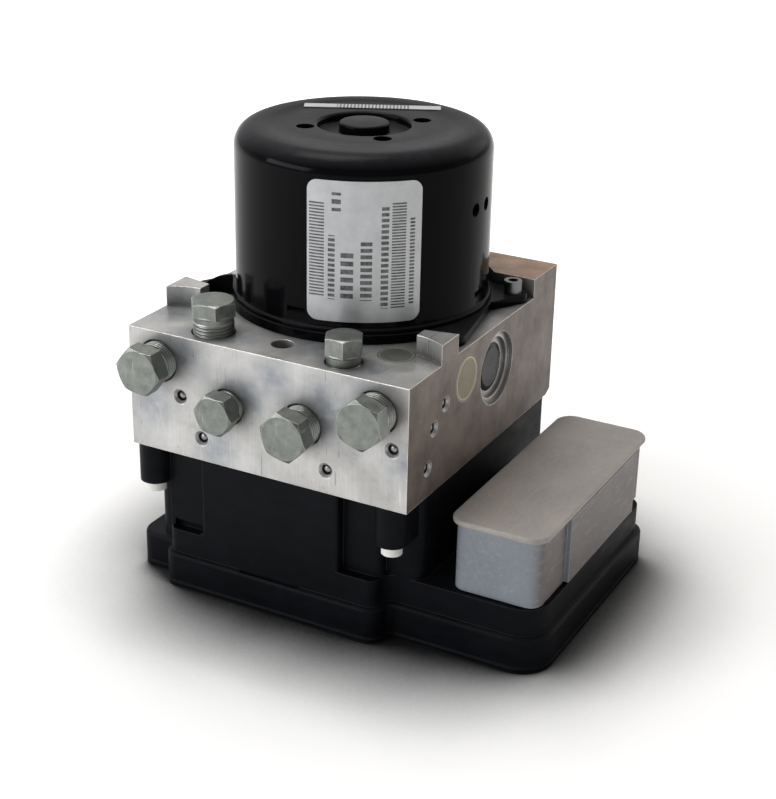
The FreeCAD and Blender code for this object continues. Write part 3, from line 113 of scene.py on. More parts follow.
class BlockSettings(bpy.types.PropertyGroup):
    metal: FloatVectorProperty(
        name="Metal", description="Colour of the milled block", subtype="COLOR",
        size=3, min=0, max=1, default=(0.45, 0.445, 0.435))
    # The bright edges are partly bare deburred metal and partly a painted highlight.
    edge_width: FloatProperty(
        name="Edge Width", description="Width of the bright deburred edges",
        default=0.35 * MM, min=0.05 * MM, max=1 * MM, unit="LENGTH", precision=5)


class ControllerSettings(bpy.types.PropertyGroup):
    plastic: FloatVectorProperty(
        name="Plastic", description="Colour of the moulded housing", subtype="COLOR",
        size=3, min=0, max=1, default=(0.0042, 0.0047, 0.0062))
    cap: FloatVectorProperty(
        name="Cap", description="Colour of the milky connector cap", subtype="COLOR",
        size=3, min=0, max=1, default=(0.255, 0.255, 0.265))


class LabelSettings(bpy.types.PropertyGroup):
    foil: FloatVectorProperty(
        name="Foil", description="Colour of the label foil", subtype="COLOR",
        size=3, min=0, max=1, default=(0.38, 0.385, 0.39))
    print_colour: FloatVectorProperty(
        name="Stripes", description="Colour of the plain stripes on the labels", subtype="COLOR",
        size=3, min=0, max=1, default=(0.020, 0.020, 0.023))


class StageSettings(bpy.types.PropertyGroup):
    focal: FloatProperty(
        name="Focal Length", description="Camera focal length in millimetres",
        default=75.33, min=20, max=200)
    floor: FloatVectorProperty(
        name="Floor", description="Colour of the floor", subtype="COLOR",
        size=3, min=0, max=1, default=(0.93, 0.93, 0.93))
    world: FloatProperty(
        name="World Level", description="Level of the even light all round",
        default=0.30, min=0, max=2)


# Materials

class Finish:
    """A material in the making, with short calls that add and join its shader nodes."""

    def __init__(self, name, rough=0.5, metal=0.0, **sockets):
        self.material = bpy.data.materials.new(name)
        self.material.use_nodes = True
        self.tree = self.material.node_tree
        self.tree.nodes.clear()
        out = self.tree.nodes.new("ShaderNodeOutputMaterial")
        self.skin = self.node("ShaderNodeBsdfPrincipled")
        self.set(Roughness=rough, Metallic=metal, **sockets)
        self.tree.links.new(self.skin.outputs[0], out.inputs[0])
        self.place = self.node("ShaderNodeTexCoord").outputs["Object"]

    def node(self, kind, inputs=None, **settings):
        made = self.tree.nodes.new(kind)
        for key, value in settings.items():
            setattr(made, key, value)
        for key, value in (inputs or {}).items():
            self.feed(made.inputs[key], value)
        return made

    def feed(self, socket, value):
        if isinstance(value, bpy.types.NodeSocket):
            self.tree.links.new(value, socket)
        elif socket.type == "RGBA":
            socket.default_value = (*value, 1.0) if len(value) == 3 else value
        else:
            socket.default_value = value

    def set(self, **sockets):
        for key, value in sockets.items():
            self.feed(self.skin.inputs[key.replace("_", " ")], value)

    def stretched(self, stretch):
        if stretch == (1, 1, 1):
            return self.place
        return self.node("ShaderNodeMapping", {"Vector": self.place, "Scale": stretch}).outputs[0]

    def noise(self, size, stretch=(1, 1, 1), detail=4.0, rough=0.55):
        """Noise with features of about size mm."""
        made = self.node("ShaderNodeTexNoise", {
            "Vector": self.stretched(stretch), "Scale": 1 / (size * MM), "Detail": detail,
            "Roughness": rough})
        return made.outputs[0]

    def cells(self, size):
        """Distance from the middle of scattered cells of about size mm."""
        made = self.node("ShaderNodeTexVoronoi", {"Vector": self.place, "Scale": 1 / (size * MM)})
        return made.outputs["Distance"]

    def span(self, value, low, high, out_low=0.0, out_high=1.0):
        """Value from low..high spread to out_low..out_high, and held at the ends."""
        return self.node("ShaderNodeMapRange", {
            "Value": value, "From Min": low, "From Max": high,
            "To Min": out_low, "To Max": out_high}).outputs[0]

    def math(self, operation, a, b=0.0):
        made = self.node("ShaderNodeMath", operation=operation)
        self.feed(made.inputs[0], a)
        self.feed(made.inputs[1], b)
        return made.outputs[0]

    def blend(self, factor, a, b):
        """Colour a where the factor is 0, b where it is 1."""
        made = self.node("ShaderNodeMix", data_type="RGBA", clamp_factor=True)
        self.feed(made.inputs[0], factor)
        self.feed(made.inputs[6], a)
        self.feed(made.inputs[7], b)
        return made.outputs[2]

    def laid(self, tone, colour, mask, share):
        """The tone with a share of a colour laid over it where the mask is 1."""
        return self.blend(self.math("MULTIPLY", mask, share), tone, colour)

    def axes(self, socket=None):
        """X, Y and Z of the place, or of another vector."""
        split = self.node("ShaderNodeSeparateXYZ")
        self.feed(split.inputs[0], socket or self.place)
        return split.outputs

    def facing(self):
        """X, Y and Z of the way that the surface faces."""
        return self.axes(self.node("ShaderNodeNewGeometry").outputs["Normal"])

    def open_air(self, reach, samples):
        """1 in the open, less where something stands within reach, in metres."""
        return self.node("ShaderNodeAmbientOcclusion", {"Distance": reach}, samples=samples).outputs["AO"]

    def apart(self, at):
        """Distance from a place in mm, in metres."""
        made = self.node("ShaderNodeVectorMath", operation="DISTANCE")
        self.feed(made.inputs[0], self.place)
        self.feed(made.inputs[1], tuple(Vector(at) * MM))
        return made.outputs["Value"]

    def spot(self, at, reach):
        """1 at a place in mm, falling to 0 at its reach."""
        return self.span(self.apart(at), reach * MM, 0.0)

    def scratches(self, lean, width=0.5, run=9):
        """Thin straight scratches that lean by so many degrees, broken into runs."""
        turned = self.node("ShaderNodeMapping", {
            "Vector": self.place, "Scale": (1, 0.02, 0.02),
            "Rotation": (radians(lean * 0.7), radians(lean), radians(-lean * 0.8))}).outputs[0]
        line = self.node("ShaderNodeTexNoise", {
            "Vector": turned, "Scale": 1 / (width * MM), "Detail": 1.0}).outputs[0]
        runs = self.span(self.noise(run, detail=2), 0.50, 0.60)
        return self.math("MULTIPLY", self.span(line, 0.68, 0.73), runs)

    def edges(self, width):
        """0 on flat stretches, 1 along convex and concave edges of about that width in mm."""
        bevel = self.node("ShaderNodeBevel", {"Radius": width * MM}, samples=6)
        face = self.node("ShaderNodeNewGeometry").outputs["True Normal"]
        dot = self.node("ShaderNodeVectorMath", operation="DOT_PRODUCT")
        self.feed(dot.inputs[0], bevel.outputs[0])
        self.feed(dot.inputs[1], face)
        return self.span(dot.outputs["Value"], 0.998, 0.90, 0, 1), bevel.outputs[0]

    def bump(self, height, depth, normal=None):
        """Relief of about depth mm."""
        inputs = {"Height": height, "Distance": depth * MM, "Strength": 1.0}
        if normal:
            inputs["Normal"] = normal
        made = self.node("ShaderNodeBump", inputs)
        self.feed(self.skin.inputs["Normal"], made.outputs[0])


def shade(colour, factor):
    """The colour darker or brighter by a factor."""
    return tuple(min(1.0, c * factor) for c in colour)


# Hand marks on the block: place and reach in mm
SMUDGES = (
    ((-27, -56, 80), 12), ((-6, -56, 70), 12), ((20, -56, 73), 14), ((28, -56, 70), 11), ((-38, -56, 62), 11),
    ((-13, -48, 84), 11), ((12, -42, 84), 13), ((44, -56, 62), 9), ((-40, -40, 84), 12), ((30, -50, 84), 11),
    ((-17, -56, 52), 10), ((3, -56, 78), 10), ((45, -44, 62), 10),
)

# Painted shade with a brown tone on the right side, and a browner top on the raised strip: dark and pale
# tone, and where in mm each begins and is full
RIGHT_SIDE_SHADE = ((0.070, 0.052, 0.043), (0.155, 0.115, 0.092))
RIGHT_SIDE_SHADE_X = (SIDE_X - 0.4, SIDE_X - 0.1)
BROWN_STRIP = ((0.19, 0.115, 0.07), (0.34, 0.215, 0.14))
BROWN_STRIP_Y = (24.8, 25.6)


def smudges(f):
    """Hand marks, broken up by noise."""
    mark = 0.0
    for at, reach in SMUDGES:
        mark = f.math("MAXIMUM", mark, f.spot(at, reach))
    return f.math("MULTIPLY", mark, f.span(f.noise(4, detail=5), 0.30, 0.65, 0.35, 1.0))


def sawn_faces(f, tone):
    """The tone with painted shade, brown-toned, on the right face and a browner top on the raised strip, and
    1 where either lies.
    """
    x, y, _ = f.axes()
    right, _, up = f.facing()
    patchy = f.span(f.noise(8, detail=7, rough=0.65), 0.35, 0.65)
    tinted_masks = []
    for (dark, pale), way, place, (begin, full) in (
            (RIGHT_SIDE_SHADE, right, x, RIGHT_SIDE_SHADE_X), (BROWN_STRIP, up, y, BROWN_STRIP_Y)):
        skin = f.math("MULTIPLY", f.span(way, 0.5, 0.9), f.span(place, begin * MM, full * MM))
        tone = f.laid(tone, f.blend(patchy, dark, pale), skin, 0.97)
        tinted_masks.append(skin)
    return tone, f.math("MAXIMUM", *tinted_masks)


def wear(f, tone):
    """The tone with pale and dark scratches and small pits."""
    pale_scratch, dark_scratch, pit = (0.70, 0.68, 0.66), (0.16, 0.155, 0.15), (0.09, 0.085, 0.08)
    tone = f.laid(tone, pale_scratch, f.scratches(38), 0.6)
    tone = f.laid(tone, dark_scratch, f.scratches(-24, 0.7, 6), 0.55)
    pits = f.math("MULTIPLY", f.span(f.cells(2.6), 0.10, 0.05), f.span(f.noise(9, detail=2), 0.54, 0.60))
    return f.laid(tone, pit, pits, 0.6)


def milled_metal(name, colour, edge_width):
    """Machined light metal: tool streaks, blue-grey smudges, painted shade on the right side and in recesses,
    a browner raised strip, and bright edges, partly bare metal and partly a painted highlight.
    """
    warm, smudge, bare_edge_and_highlight = (0.52, 0.475, 0.44), (0.20, 0.225, 0.26), (0.90, 0.82, 0.77)
    f = Finish(name)
    streak = f.noise(0.5, (1, 1, 0.03), detail=3)
    cross = f.noise(0.7, (0.05, 1, 1), detail=2)
    cloud = f.noise(13, detail=6, rough=0.62)
    tone = f.blend(f.span(cloud, 0.34, 0.66), shade(colour, 0.78), shade(colour, 1.26))
    tone = f.blend(f.span(f.noise(22, detail=2), 0.42, 0.62, 0, 0.25), tone, warm)
    tone = f.blend(f.span(streak, 0.35, 0.65, 0, 0.30), tone, shade(colour, 0.76))
    tone = f.laid(tone, smudge, smudges(f), 0.95)
    stain = f.span(f.noise(5.5, detail=6, rough=0.7), 0.56, 0.72)
    tone = f.laid(tone, shade(colour, 0.50), stain, 0.32)
    # Painted shade darkens the right side with a brown tone, and the raised strip's top turns browner; the
    # same mask makes both less metallic and rougher.
    tone, skin = sawn_faces(f, tone)
    mask, rounded = f.edges(edge_width / MM)
    # Bright along convex and concave edges: partly bare deburred metal, partly a painted highlight.
    tone = f.laid(wear(f, tone), bare_edge_and_highlight, mask, 0.85)
    # Painted shade: the block's colour turns dark in recesses and close to other parts.
    painted_recess_shade = f.open_air(6 * MM, 4)
    f.set(Base_Color=f.blend(f.span(painted_recess_shade, 0.35, 0.88), shade(colour, 0.14), tone))
    f.set(Metallic=f.span(skin, 0, 1, 0.55, 0.22))
    dull = f.math("ADD", f.span(cloud, 0.3, 0.7, 0.28, 0.46), f.span(streak, 0.3, 0.7, -0.04, 0.06))
    dull = f.math("ADD", dull, f.math("MULTIPLY", skin, 0.10))
    f.set(Roughness=f.math("SUBTRACT", dull, f.math("MULTIPLY", mask, 0.12)))
    relief = f.math("ADD", f.math("MULTIPLY", streak, 0.6), f.math("MULTIPLY", cross, 0.4))
    f.bump(relief, 0.016, normal=rounded)
    return f.material


def plated_steel(name, colour):
    """Zinc-plated steel: slightly green, finely mottled, brighter along its edges, partly from wear and
    partly from a painted highlight.
    """
    tarnish, scratch, worn_edge_and_highlight = (0.11, 0.12, 0.085), (0.40, 0.41, 0.38), (0.72, 0.73, 0.70)
    f = Finish(name, metal=0.75)
    cloud = f.noise(3.2, detail=6, rough=0.65)
    tone = f.blend(f.span(cloud, 0.34, 0.66), shade(colour, 0.74), shade(colour, 1.22))
    tone = f.blend(f.span(f.noise(0.9, detail=4), 0.58, 0.76, 0, 0.40), tone, tarnish)
    tone = f.laid(tone, scratch, f.scratches(50, 0.4, 4), 0.5)
    mask, rounded = f.edges(0.30)
    # Brighter along the edges: partly wear, partly a painted highlight.
    f.set(Base_Color=f.laid(tone, worn_edge_and_highlight, mask, 0.6))
    f.set(Roughness=f.span(cloud, 0.3, 0.7, 0.30, 0.46))
    f.bump(f.noise(0.22, detail=2), 0.010, normal=rounded)
    return f.material


def turned_steel(name, colour, rough):
    """Bright machined steel with fine marks."""
    f = Finish(name, metal=1.0)
    cloud = f.noise(3.6, detail=4)
    f.set(Base_Color=f.blend(f.span(cloud, 0.3, 0.7), shade(colour, 0.85), shade(colour, 1.08)))
    f.set(Roughness=f.span(cloud, 0.3, 0.7, rough - 0.05, rough + 0.08))
    f.bump(f.noise(0.6, detail=2), 0.008)
    return f.material


def gloss_paint(name, colour):
    """Black dip paint: a faint orange peel, dust, and a duller top with turning rings, greyer from a painted
    reflection.
    """
    painted_top_sheen, dust = (0.024, 0.0245, 0.027), (0.12, 0.115, 0.11)
    f = Finish(name, Specular_IOR_Level=0.035)
    upward = f.span(f.facing()[2], 0.4, 1.0)
    top_sheen_mask = f.math("MULTIPLY", upward, f.span(f.noise(6, detail=7, rough=0.7), 0.3, 0.75, 0.55, 1.0))
    # Painted reflection: the upward faces are greyer, broken up by noise.
    tone = f.blend(top_sheen_mask, shade(colour, 0.6), painted_top_sheen)
    settled = f.span(f.noise(7, detail=8, rough=0.7), 0.60, 0.80, 0, 0.02)
    f.set(Base_Color=f.blend(settled, tone, dust))
    f.set(Roughness=f.math("ADD", f.span(upward, 0, 1, 0.10, 0.32),
                           f.span(f.noise(3, detail=5), 0.3, 0.7, 0, 0.06)))
    x, y, _ = f.axes()
    radius = f.math("SQRT", f.math("ADD", f.math("POWER", x, 2.0), f.math("POWER", y, 2.0)))
    rings = f.node("ShaderNodeTexNoise", {
        "W": f.math("DIVIDE", radius, 0.7 * MM), "Scale": 1.0, "Detail": 2.0},
        noise_dimensions="1D").outputs[0]
    turned = f.math("MULTIPLY", f.math("MULTIPLY", rings, upward), 1.2)
    f.bump(f.math("ADD", f.noise(1.6, detail=2), turned), 0.012)
    return f.material


def moulded_plastic(name, colour):
    """Black glass-filled plastic with a fine grain, flow marks, pale dust and a pale painted highlight along
    its edges.
    """
    dust, edge_highlight = (0.10, 0.10, 0.098), (0.16, 0.16, 0.165)
    f = Finish(name, Specular_IOR_Level=0.055)
    flow = f.noise(9, (1, 1, 2.5), detail=5)
    settled = f.span(f.noise(2.4, detail=8, rough=0.72), 0.60, 0.85, 0, 0.035)
    tone = f.blend(f.span(flow, 0.3, 0.7), shade(colour, 0.8), shade(colour, 1.3))
    mask, rounded = f.edges(0.45)
    # Painted highlight along the housing's edges.
    f.set(Base_Color=f.laid(f.blend(settled, tone, dust), edge_highlight, mask, 0.14))
    f.set(Roughness=f.span(flow, 0.3, 0.7, 0.36, 0.50))
    f.bump(f.noise(0.30, detail=3), 0.020, normal=rounded)
    return f.material


# Painted light and shade on the cap: tints of the lid, the front wall and the other walls against its colour,
# and where in mm the lid begins
CAP_LIGHT_AND_SHADE = ((1.56, 1.41, 1.23), (0.98, 1.09, 1.19), (0.62, 0.52, 0.47))
LID_Z = (40.0, 41.4)


def milky_plastic(name, colour):
    """Thin translucent cap: frosted and cloudy, scuffed, with painted light and shade, the lid lighter, the
    front wall bluish and the other walls darker, and a painted highlight along its edges.
    """
    f = Finish(name, rough=0.42, Transmission_Weight=0.15, IOR=1.46, Specular_IOR_Level=0.35)
    cloud = f.noise(14, detail=4)
    scuff = f.span(f.noise(2.0, (1, 0.25, 1), detail=8, rough=0.75), 0.52, 0.80, 0, 0.50)
    lid, front, side = (tuple(c * k for c, k in zip(colour, tint)) for tint in CAP_LIGHT_AND_SHADE)
    # Painted light and shade: the lid lighter and warmer, the front wall bluish, the other walls darker.
    tone = f.blend(f.span(f.facing()[1], -0.4, -0.85), side, front)
    tone = f.blend(f.span(f.axes()[2], LID_Z[0] * MM, LID_Z[1] * MM), tone, lid)
    tone = f.blend(f.span(cloud, 0.35, 0.65, 0, 0.28), tone, shade(colour, 0.70))
    tone = f.blend(f.span(f.noise(1.1, detail=5, rough=0.7), 0.42, 0.66, 0, 0.22), tone, shade(colour, 0.62))
    mask, rounded = f.edges(0.5)
    # Painted highlight along the cap's edges.
    tone = f.laid(tone, shade(colour, 2.2), mask, 0.60)
    f.set(Base_Color=f.blend(scuff, tone, shade(colour, 1.9)))
    f.set(Roughness=f.span(cloud, 0.3, 0.7, 0.36, 0.50))
    f.bump(f.noise(0.5, detail=3), 0.015, normal=rounded)
    return f.material


def pressed_disc(name, colour, centre, radius, rough=0.5):
    """Passivated disc, speckled, with a dark seam and a painted highlight on the lip round it."""
    f = Finish(name, metal=0.55, rough=rough)
    speck = f.noise(0.45, detail=5, rough=0.7)
    tone = f.blend(f.span(f.noise(4, detail=3), 0.3, 0.7), shade(colour, 0.85), shade(colour, 1.12))
    tone = f.blend(f.span(speck, 0.52, 0.72, 0, 0.6), tone, shade(colour, 0.40))
    inward = f.spot(centre, radius)
    # Painted highlight: a bright ring on the lip, just inside the seam.
    tone = f.blend(f.span(inward, 0.16, 0.10), tone, shade(colour, 2.0))
    f.set(Base_Color=f.blend(f.span(inward, 0.055, 0.03), tone, shade(colour, 0.12)))
    f.bump(speck, 0.02)
    return f.material


def plain_plastic(name, colour, rough=0.45, size=0.4, gloss=0.5):
    """Moulded or sheet plastic of one colour with a fine grain."""
    f = Finish(name, Specular_IOR_Level=gloss)
    cloud = f.noise(size * 12, detail=4)
    f.set(Base_Color=f.blend(f.span(cloud, 0.3, 0.7), shade(colour, 0.88), shade(colour, 1.10)))
    f.set(Roughness=f.span(cloud, 0.3, 0.7, rough - 0.05, rough + 0.08))
    f.bump(f.noise(size, detail=3), 0.015)
    return f.material


# Scales of the patterns: wire turns each 0.52 mm, sheets each 0.95 mm and tracks 1.9 mm long
WIRE_SCALE = 600.0
SHEET_SCALE = 330.0
TRACK_SCALE = 260.0


def wound_copper(name, colour):
    """Lacquered copper wire laid in turns."""
    f = Finish(name, metal=0.9, rough=0.3)
    turns = f.node("ShaderNodeTexWave", {
        "Vector": f.place, "Scale": WIRE_SCALE, "Distortion": 1.5, "Detail": 2.0},
        bands_direction="Z").outputs["Fac"]
    f.set(Base_Color=f.blend(turns, shade(colour, 0.5), colour))
    f.bump(turns, 0.12)
    return f.material


def stacked_sheets(name, colour):
    """Edges of punched steel sheets, one above the other."""
    f = Finish(name, metal=0.8, rough=0.42)
    sheets = f.node("ShaderNodeTexWave", {"Vector": f.place, "Scale": SHEET_SCALE},
                    bands_direction="Z").outputs["Fac"]
    f.set(Base_Color=f.blend(sheets, shade(colour, 0.55), colour))
    f.bump(sheets, 0.05)
    return f.material


def board_lacquer(name, colour):
    """Green solder mask over raised tracks."""
    f = Finish(name, rough=0.3)
    tracks = f.node("ShaderNodeTexBrick", {
        "Vector": f.place, "Scale": TRACK_SCALE, "Color1": (1, 1, 1), "Color2": (0.2, 0.2, 0.2),
        "Mortar": (0, 0, 0), "Mortar Size": 0.03}).outputs["Fac"]
    f.set(Base_Color=f.blend(tracks, colour, shade(colour, 2.2)))
    f.bump(tracks, 0.03)
    return f.material


# Mesh building

HOLE_STEPS = 48


def lathe(bm, profile, steps, ring=True):
    """Full turn about Z of (radius, height) points in mm; a ring's profile closes on itself."""
    verts = [bm.verts.new((r * MM, 0, z * MM)) for r, z in profile]
    edges = [bm.edges.new(pair) for pair in zip(verts, verts[1:])]
    if ring:
        edges.append(bm.edges.new((verts[-1], verts[0])))
    bmesh.ops.spin(bm, geom=verts + edges, cent=(0, 0, 0), axis=(0, 0, 1), dvec=(0, 0, 0),
                   angle=2 * pi, steps=steps, use_merge=True)
    bmesh.ops.remove_doubles(bm, verts=bm.verts, dist=DOUBLE)
    bmesh.ops.recalc_face_normals(bm, faces=bm.faces)


def arc(centre, radius, start, end, count):
    """Points of an arc in a profile, angles in degrees from the outward direction."""
    r0, z0 = centre
    angles = [start + (end - start) * i / count for i in range(count + 1)]
    return [(r0 + radius * cos(radians(a)), z0 + radius * sin(radians(a))) for a in angles]


def placed(bm, at, outward, turn):
    """Moves a piece made about Z to its place in mm, facing outward."""
    spin = Matrix.Rotation(radians(turn), 4, "Z")
    face = UP.rotation_difference(Vector(outward)).to_matrix().to_4x4()
    move = Matrix.Translation(Vector(at) * MM)
    bmesh.ops.transform(bm, matrix=move @ face @ spin, verts=bm.verts)


def mesh_of(bm, name):
    mesh = bpy.data.meshes.new(name)
    bm.to_mesh(mesh)
    bm.free()
    return mesh


def linked(mesh, name, material, crease):
    """Links a mesh, sharp along creases past so many degrees, as a piece that no body carries yet."""
    mesh.shade_smooth()
    mesh.set_sharp_from_angle(angle=radians(crease))
    mesh.materials.clear()
    mesh.materials.append(material)
    piece = bpy.data.objects.new(name, mesh)
    bpy.context.scene.collection.objects.link(piece)
    return piece


def finished(mesh, name, material, body, crease):
    """Links a finished mesh as a piece that rides on one body."""
    piece = linked(mesh, name, material, crease)
    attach(piece, body)
    return piece


def carved(base, tool, operation="DIFFERENCE"):
    """Boolean of two meshes as a new mesh."""
    parts = []
    for mesh in (base, tool):
        part = bpy.data.objects.new(mesh.name, mesh)
        bpy.context.scene.collection.objects.link(part)
        parts.append(part)
    cut = parts[0].modifiers.new("Cut", "BOOLEAN")
    cut.object, cut.operation, cut.solver = parts[1], operation, "EXACT"
    bpy.context.view_layer.update()
    graph = bpy.context.evaluated_depsgraph_get()
    result = bpy.data.meshes.new_from_object(parts[0].evaluated_get(graph))
    for part in parts:
        bpy.data.objects.remove(part)
    if not result.polygons:
        raise RuntimeError("the cut left nothing of " + base.name)
    return result


def cylinder_into(bm, radius, height, at, outward):
    """Adds a closed cylinder, sizes in mm, whose foot is at a place."""
    part = bmesh.ops.create_cone(bm, cap_ends=True, segments=HOLE_STEPS, radius1=radius * MM,
                                 radius2=radius * MM, depth=height * MM)["verts"]
    face = UP.rotation_difference(Vector(outward)).to_matrix().to_4x4()
    move = Matrix.Translation(Vector(at) * MM) @ face @ Matrix.Translation((0, 0, height * MM / 2))
    bmesh.ops.transform(bm, matrix=move, verts=part)


def dress(material, *nodes):
    """Gives CAD nodes a material in place of their plain one."""
    for name in nodes:
        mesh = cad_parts[name].data
        mesh.materials.clear()
        mesh.materials.append(material)


# Motor

# Sizes of the can in mm: wall, lip, recess, hub, the step on its top, vents, side holes and slots
CAN_WALL = 1.6
LIP_R = high_corner("motor_can")[0]
LIP_EDGE = 0.3
LIP_H = 0.8
LIP_BEAD = 0.5
RECESS_R = 13.5
RECESS_D = 2.6
RECESS_EDGE = 1.1
RECESS_FILLET = 0.6
HUB_R = 7.3
HUB_UP = 0.5
HUB_EDGE = 0.7
HUB_FILLET = 0.4
MOTOR_TOP = high_corner("motor_can")[2] - HUB_UP
STEP_D = 0.12
STEP_FROM = 21.5
STEP_TO = 27.5
STEP_SLOPE = 0.3
VENT_R = 2.65
VENT_RING = 17.5
VENT_ANGLES = (44, 223, 316)
SIDE_HOLE_R = 2.0
SLOT = (6.0, 1.7)

# Angle in degrees and height in mm of what is cut into the can's wall
SIDE_HOLES = ((-3.4, 118.0), (7.7, 118.0))
SLOTS = ((-90.5, 91.9), (3.0, 91.9))


def can_profile(radius, rounding):
    """Outline of the drawn can, outside then inside, from its lip to the hub."""
    inner = radius - CAN_WALL
    roof = MOTOR_TOP - CAN_WALL
    floor = MOTOR_TOP - RECESS_D
    ledge = CAN_FOOT + LIP_H
    step = MOTOR_TOP - STEP_D
    outside = [(LIP_R - LIP_EDGE, CAN_FOOT), (LIP_R, CAN_FOOT + LIP_EDGE), (LIP_R, ledge)]
    outside += arc((LIP_R - LIP_BEAD, ledge), LIP_BEAD, 0, 90, 4)[1:]
    outside += arc((radius + LIP_BEAD, ledge + 2 * LIP_BEAD), LIP_BEAD, 270, 180, 4)
    outside += arc((radius - rounding, MOTOR_TOP - rounding), rounding, 0, 90, 18)
    outside += [(STEP_TO, MOTOR_TOP), (STEP_TO - STEP_SLOPE, step), (STEP_FROM, step)]
    outside += arc((RECESS_R + RECESS_EDGE, step - RECESS_EDGE), RECESS_EDGE, 90, 180, 6)
    outside += arc((RECESS_R - RECESS_FILLET, floor + RECESS_FILLET), RECESS_FILLET, 0, -90, 4)
    outside += arc((HUB_R + HUB_FILLET, floor + HUB_FILLET), HUB_FILLET, 270, 180, 3)
    outside += arc((HUB_R - HUB_EDGE, MOTOR_TOP + HUB_UP - HUB_EDGE), HUB_EDGE, 0, 90, 5)
    outside += [(0, MOTOR_TOP + HUB_UP)]
    below = floor - CAN_WALL
    bead = rounding - CAN_WALL
    inside = [(0, below), (RECESS_R + CAN_WALL, below), (RECESS_R + CAN_WALL, roof)]
    inside += arc((inner - bead, roof - bead), bead, 90, 0, 6)
    return outside + inside + [(inner, CAN_FOOT)]


def can_cutters():
    """Vents in the top, round holes and slots in the wall."""
    bm = bmesh.new()
    for angle in VENT_ANGLES:
        at = (VENT_RING * cos(radians(angle)), VENT_RING * sin(radians(angle)), MOTOR_TOP - 2 * CAN_WALL)
        cylinder_into(bm, VENT_R, 4 * CAN_WALL, at, UP)
    for angle, height in SIDE_HOLES:
        out = Vector((cos(radians(angle)), sin(radians(angle)), 0))
        at = out * (LIP_R - 3 * CAN_WALL)
        cylinder_into(bm, SIDE_HOLE_R, 6 * CAN_WALL, (at.x, at.y, height), out)
    width, height = SLOT
    for angle, level in SLOTS:
        part = bmesh.ops.create_cube(bm, size=1)["verts"]
        size = Matrix.Diagonal((6 * CAN_WALL * MM, width * MM, height * MM, 1))
        move = Matrix.Rotation(radians(angle), 4, "Z") @ Matrix.Translation((LIP_R * MM, 0, level * MM))
        bmesh.ops.transform(bm, matrix=move @ size, verts=part)
    return mesh_of(bm, "can_cutters")


class MODULE_OT_motor_can(bpy.types.Operator):
    """Turn the motor can with its rolled rim, recess, hub, vents and slots"""
    bl_idname = "module.motor_can"
    bl_label = "Motor Can"

    def execute(self, context):
        motor = context.scene.motor_settings
        bm = bmesh.new()
        lathe(bm, can_profile(motor.can_radius / MM, motor.rim_radius / MM), motor.steps)
        mesh = carved(mesh_of(bm, "can_wall"), can_cutters())
        paint = gloss_paint("black_gloss_paint", tuple(motor.paint))
        can = finished(mesh, "motor_can_turned", paint, ROOT, crease=28)
        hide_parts("motor_can")
        dress(paint, "motor_flange")
        return {"FINISHED"}


# Port plugs

# Thread crest and root radius, across flats, neck and head height, and thread left bare, in mm
M12 = {"crest": 5.95, "root": 5.25, "flats": 13.0, "neck": 4.9, "head": 5.5, "bare": 1.5}
M10 = {"crest": 4.95, "root": 4.40, "flats": 11.0, "neck": 2.6, "head": 5.4, "bare": 1.6}
FORWARD = (0, -1, 0)
HIGH_PORT_Z = BLOCK_Z + 28.2
LOW_PORT_Z = BLOCK_Z + 19.0

# Place in mm, way out, turn in degrees, and the sizes that differ
LARGE_PLUGS = (
    ((-35.7, FRONT_Y, HIGH_PORT_Z), FORWARD, 52.0, {}),
    ((12.1, FRONT_Y, LOW_PORT_Z), FORWARD, 46.0, {}),
    ((35.7, FRONT_Y, HIGH_PORT_Z), FORWARD, 40.0, {}),
    ((-22.0, -47.3, MILL_Z), UP, 8.0, {"flats": 12.0, "neck": 5.3, "head": 4.4, "bare": 2.2}),
)
SMALL_PLUGS = (
    ((-12.3, FRONT_Y, LOW_PORT_Z), FORWARD, 54.0, {}),
    ((21.1, -48.1, MILL_Z), UP, 56.0, {"flats": 10.0, "bare": 2.6}),
)
PLUG_NODES = (("port_plugs_m12", M12, LARGE_PLUGS), ("port_plugs_m10", M10, SMALL_PLUGS))

# Lengths in mm that all plugs share
SHANK_DEPTH = 6.0
SHANK_TIP = 1.0
SHANK_OVER = 0.1        # how far the shank's core stands out over the thread's root
NECK_UNDER = 0.15       # how far the smooth neck stays under the thread's crest
NECK_RAMP = 0.3
NECK_EDGE = 0.35
HEAD_SINK = 0.3         # how far the neck runs on into the head
HEAD_FACE_INSET = 0.1
HEAD_OVER = 0.2         # how far the body that cuts the chamfer stands past the corners
THREAD_SINK = 0.3
THREAD_FLAT = 0.06
THREAD_START = 0.6
THREAD_FOOT = 0.49      # half of the ridge's foot, for each pitch
THREAD_STEPS = 40
PLUG_STEPS = 96


def hex_head(size, rise):
    """Hexagon chamfered at its outer end, its foot at height 0."""
    corner, height = size["flats"] / sqrt(3), size["head"]
    bm = bmesh.new()
    bmesh.ops.create_cone(bm, cap_ends=True, segments=6, radius1=corner * MM, radius2=corner * MM,
                          depth=height * MM)
    lift = Matrix.Translation((0, 0, height * MM / 2))
    bmesh.ops.transform(bm, matrix=lift @ Matrix.Rotation(pi / 6, 4, "Z"), verts=bm.verts)
    prism = mesh_of(bm, "hexagon")
    bm = bmesh.new()
    flat, out = size["flats"] / 2 - HEAD_FACE_INSET, corner + HEAD_OVER
    lathe(bm, [(0, -1), (out, -1), (out, height - (out - flat) * rise), (flat, height), (0, height)],
          PLUG_STEPS, ring=False)
    return carved(prism, mesh_of(bm, "chamfer_body"), "INTERSECT")


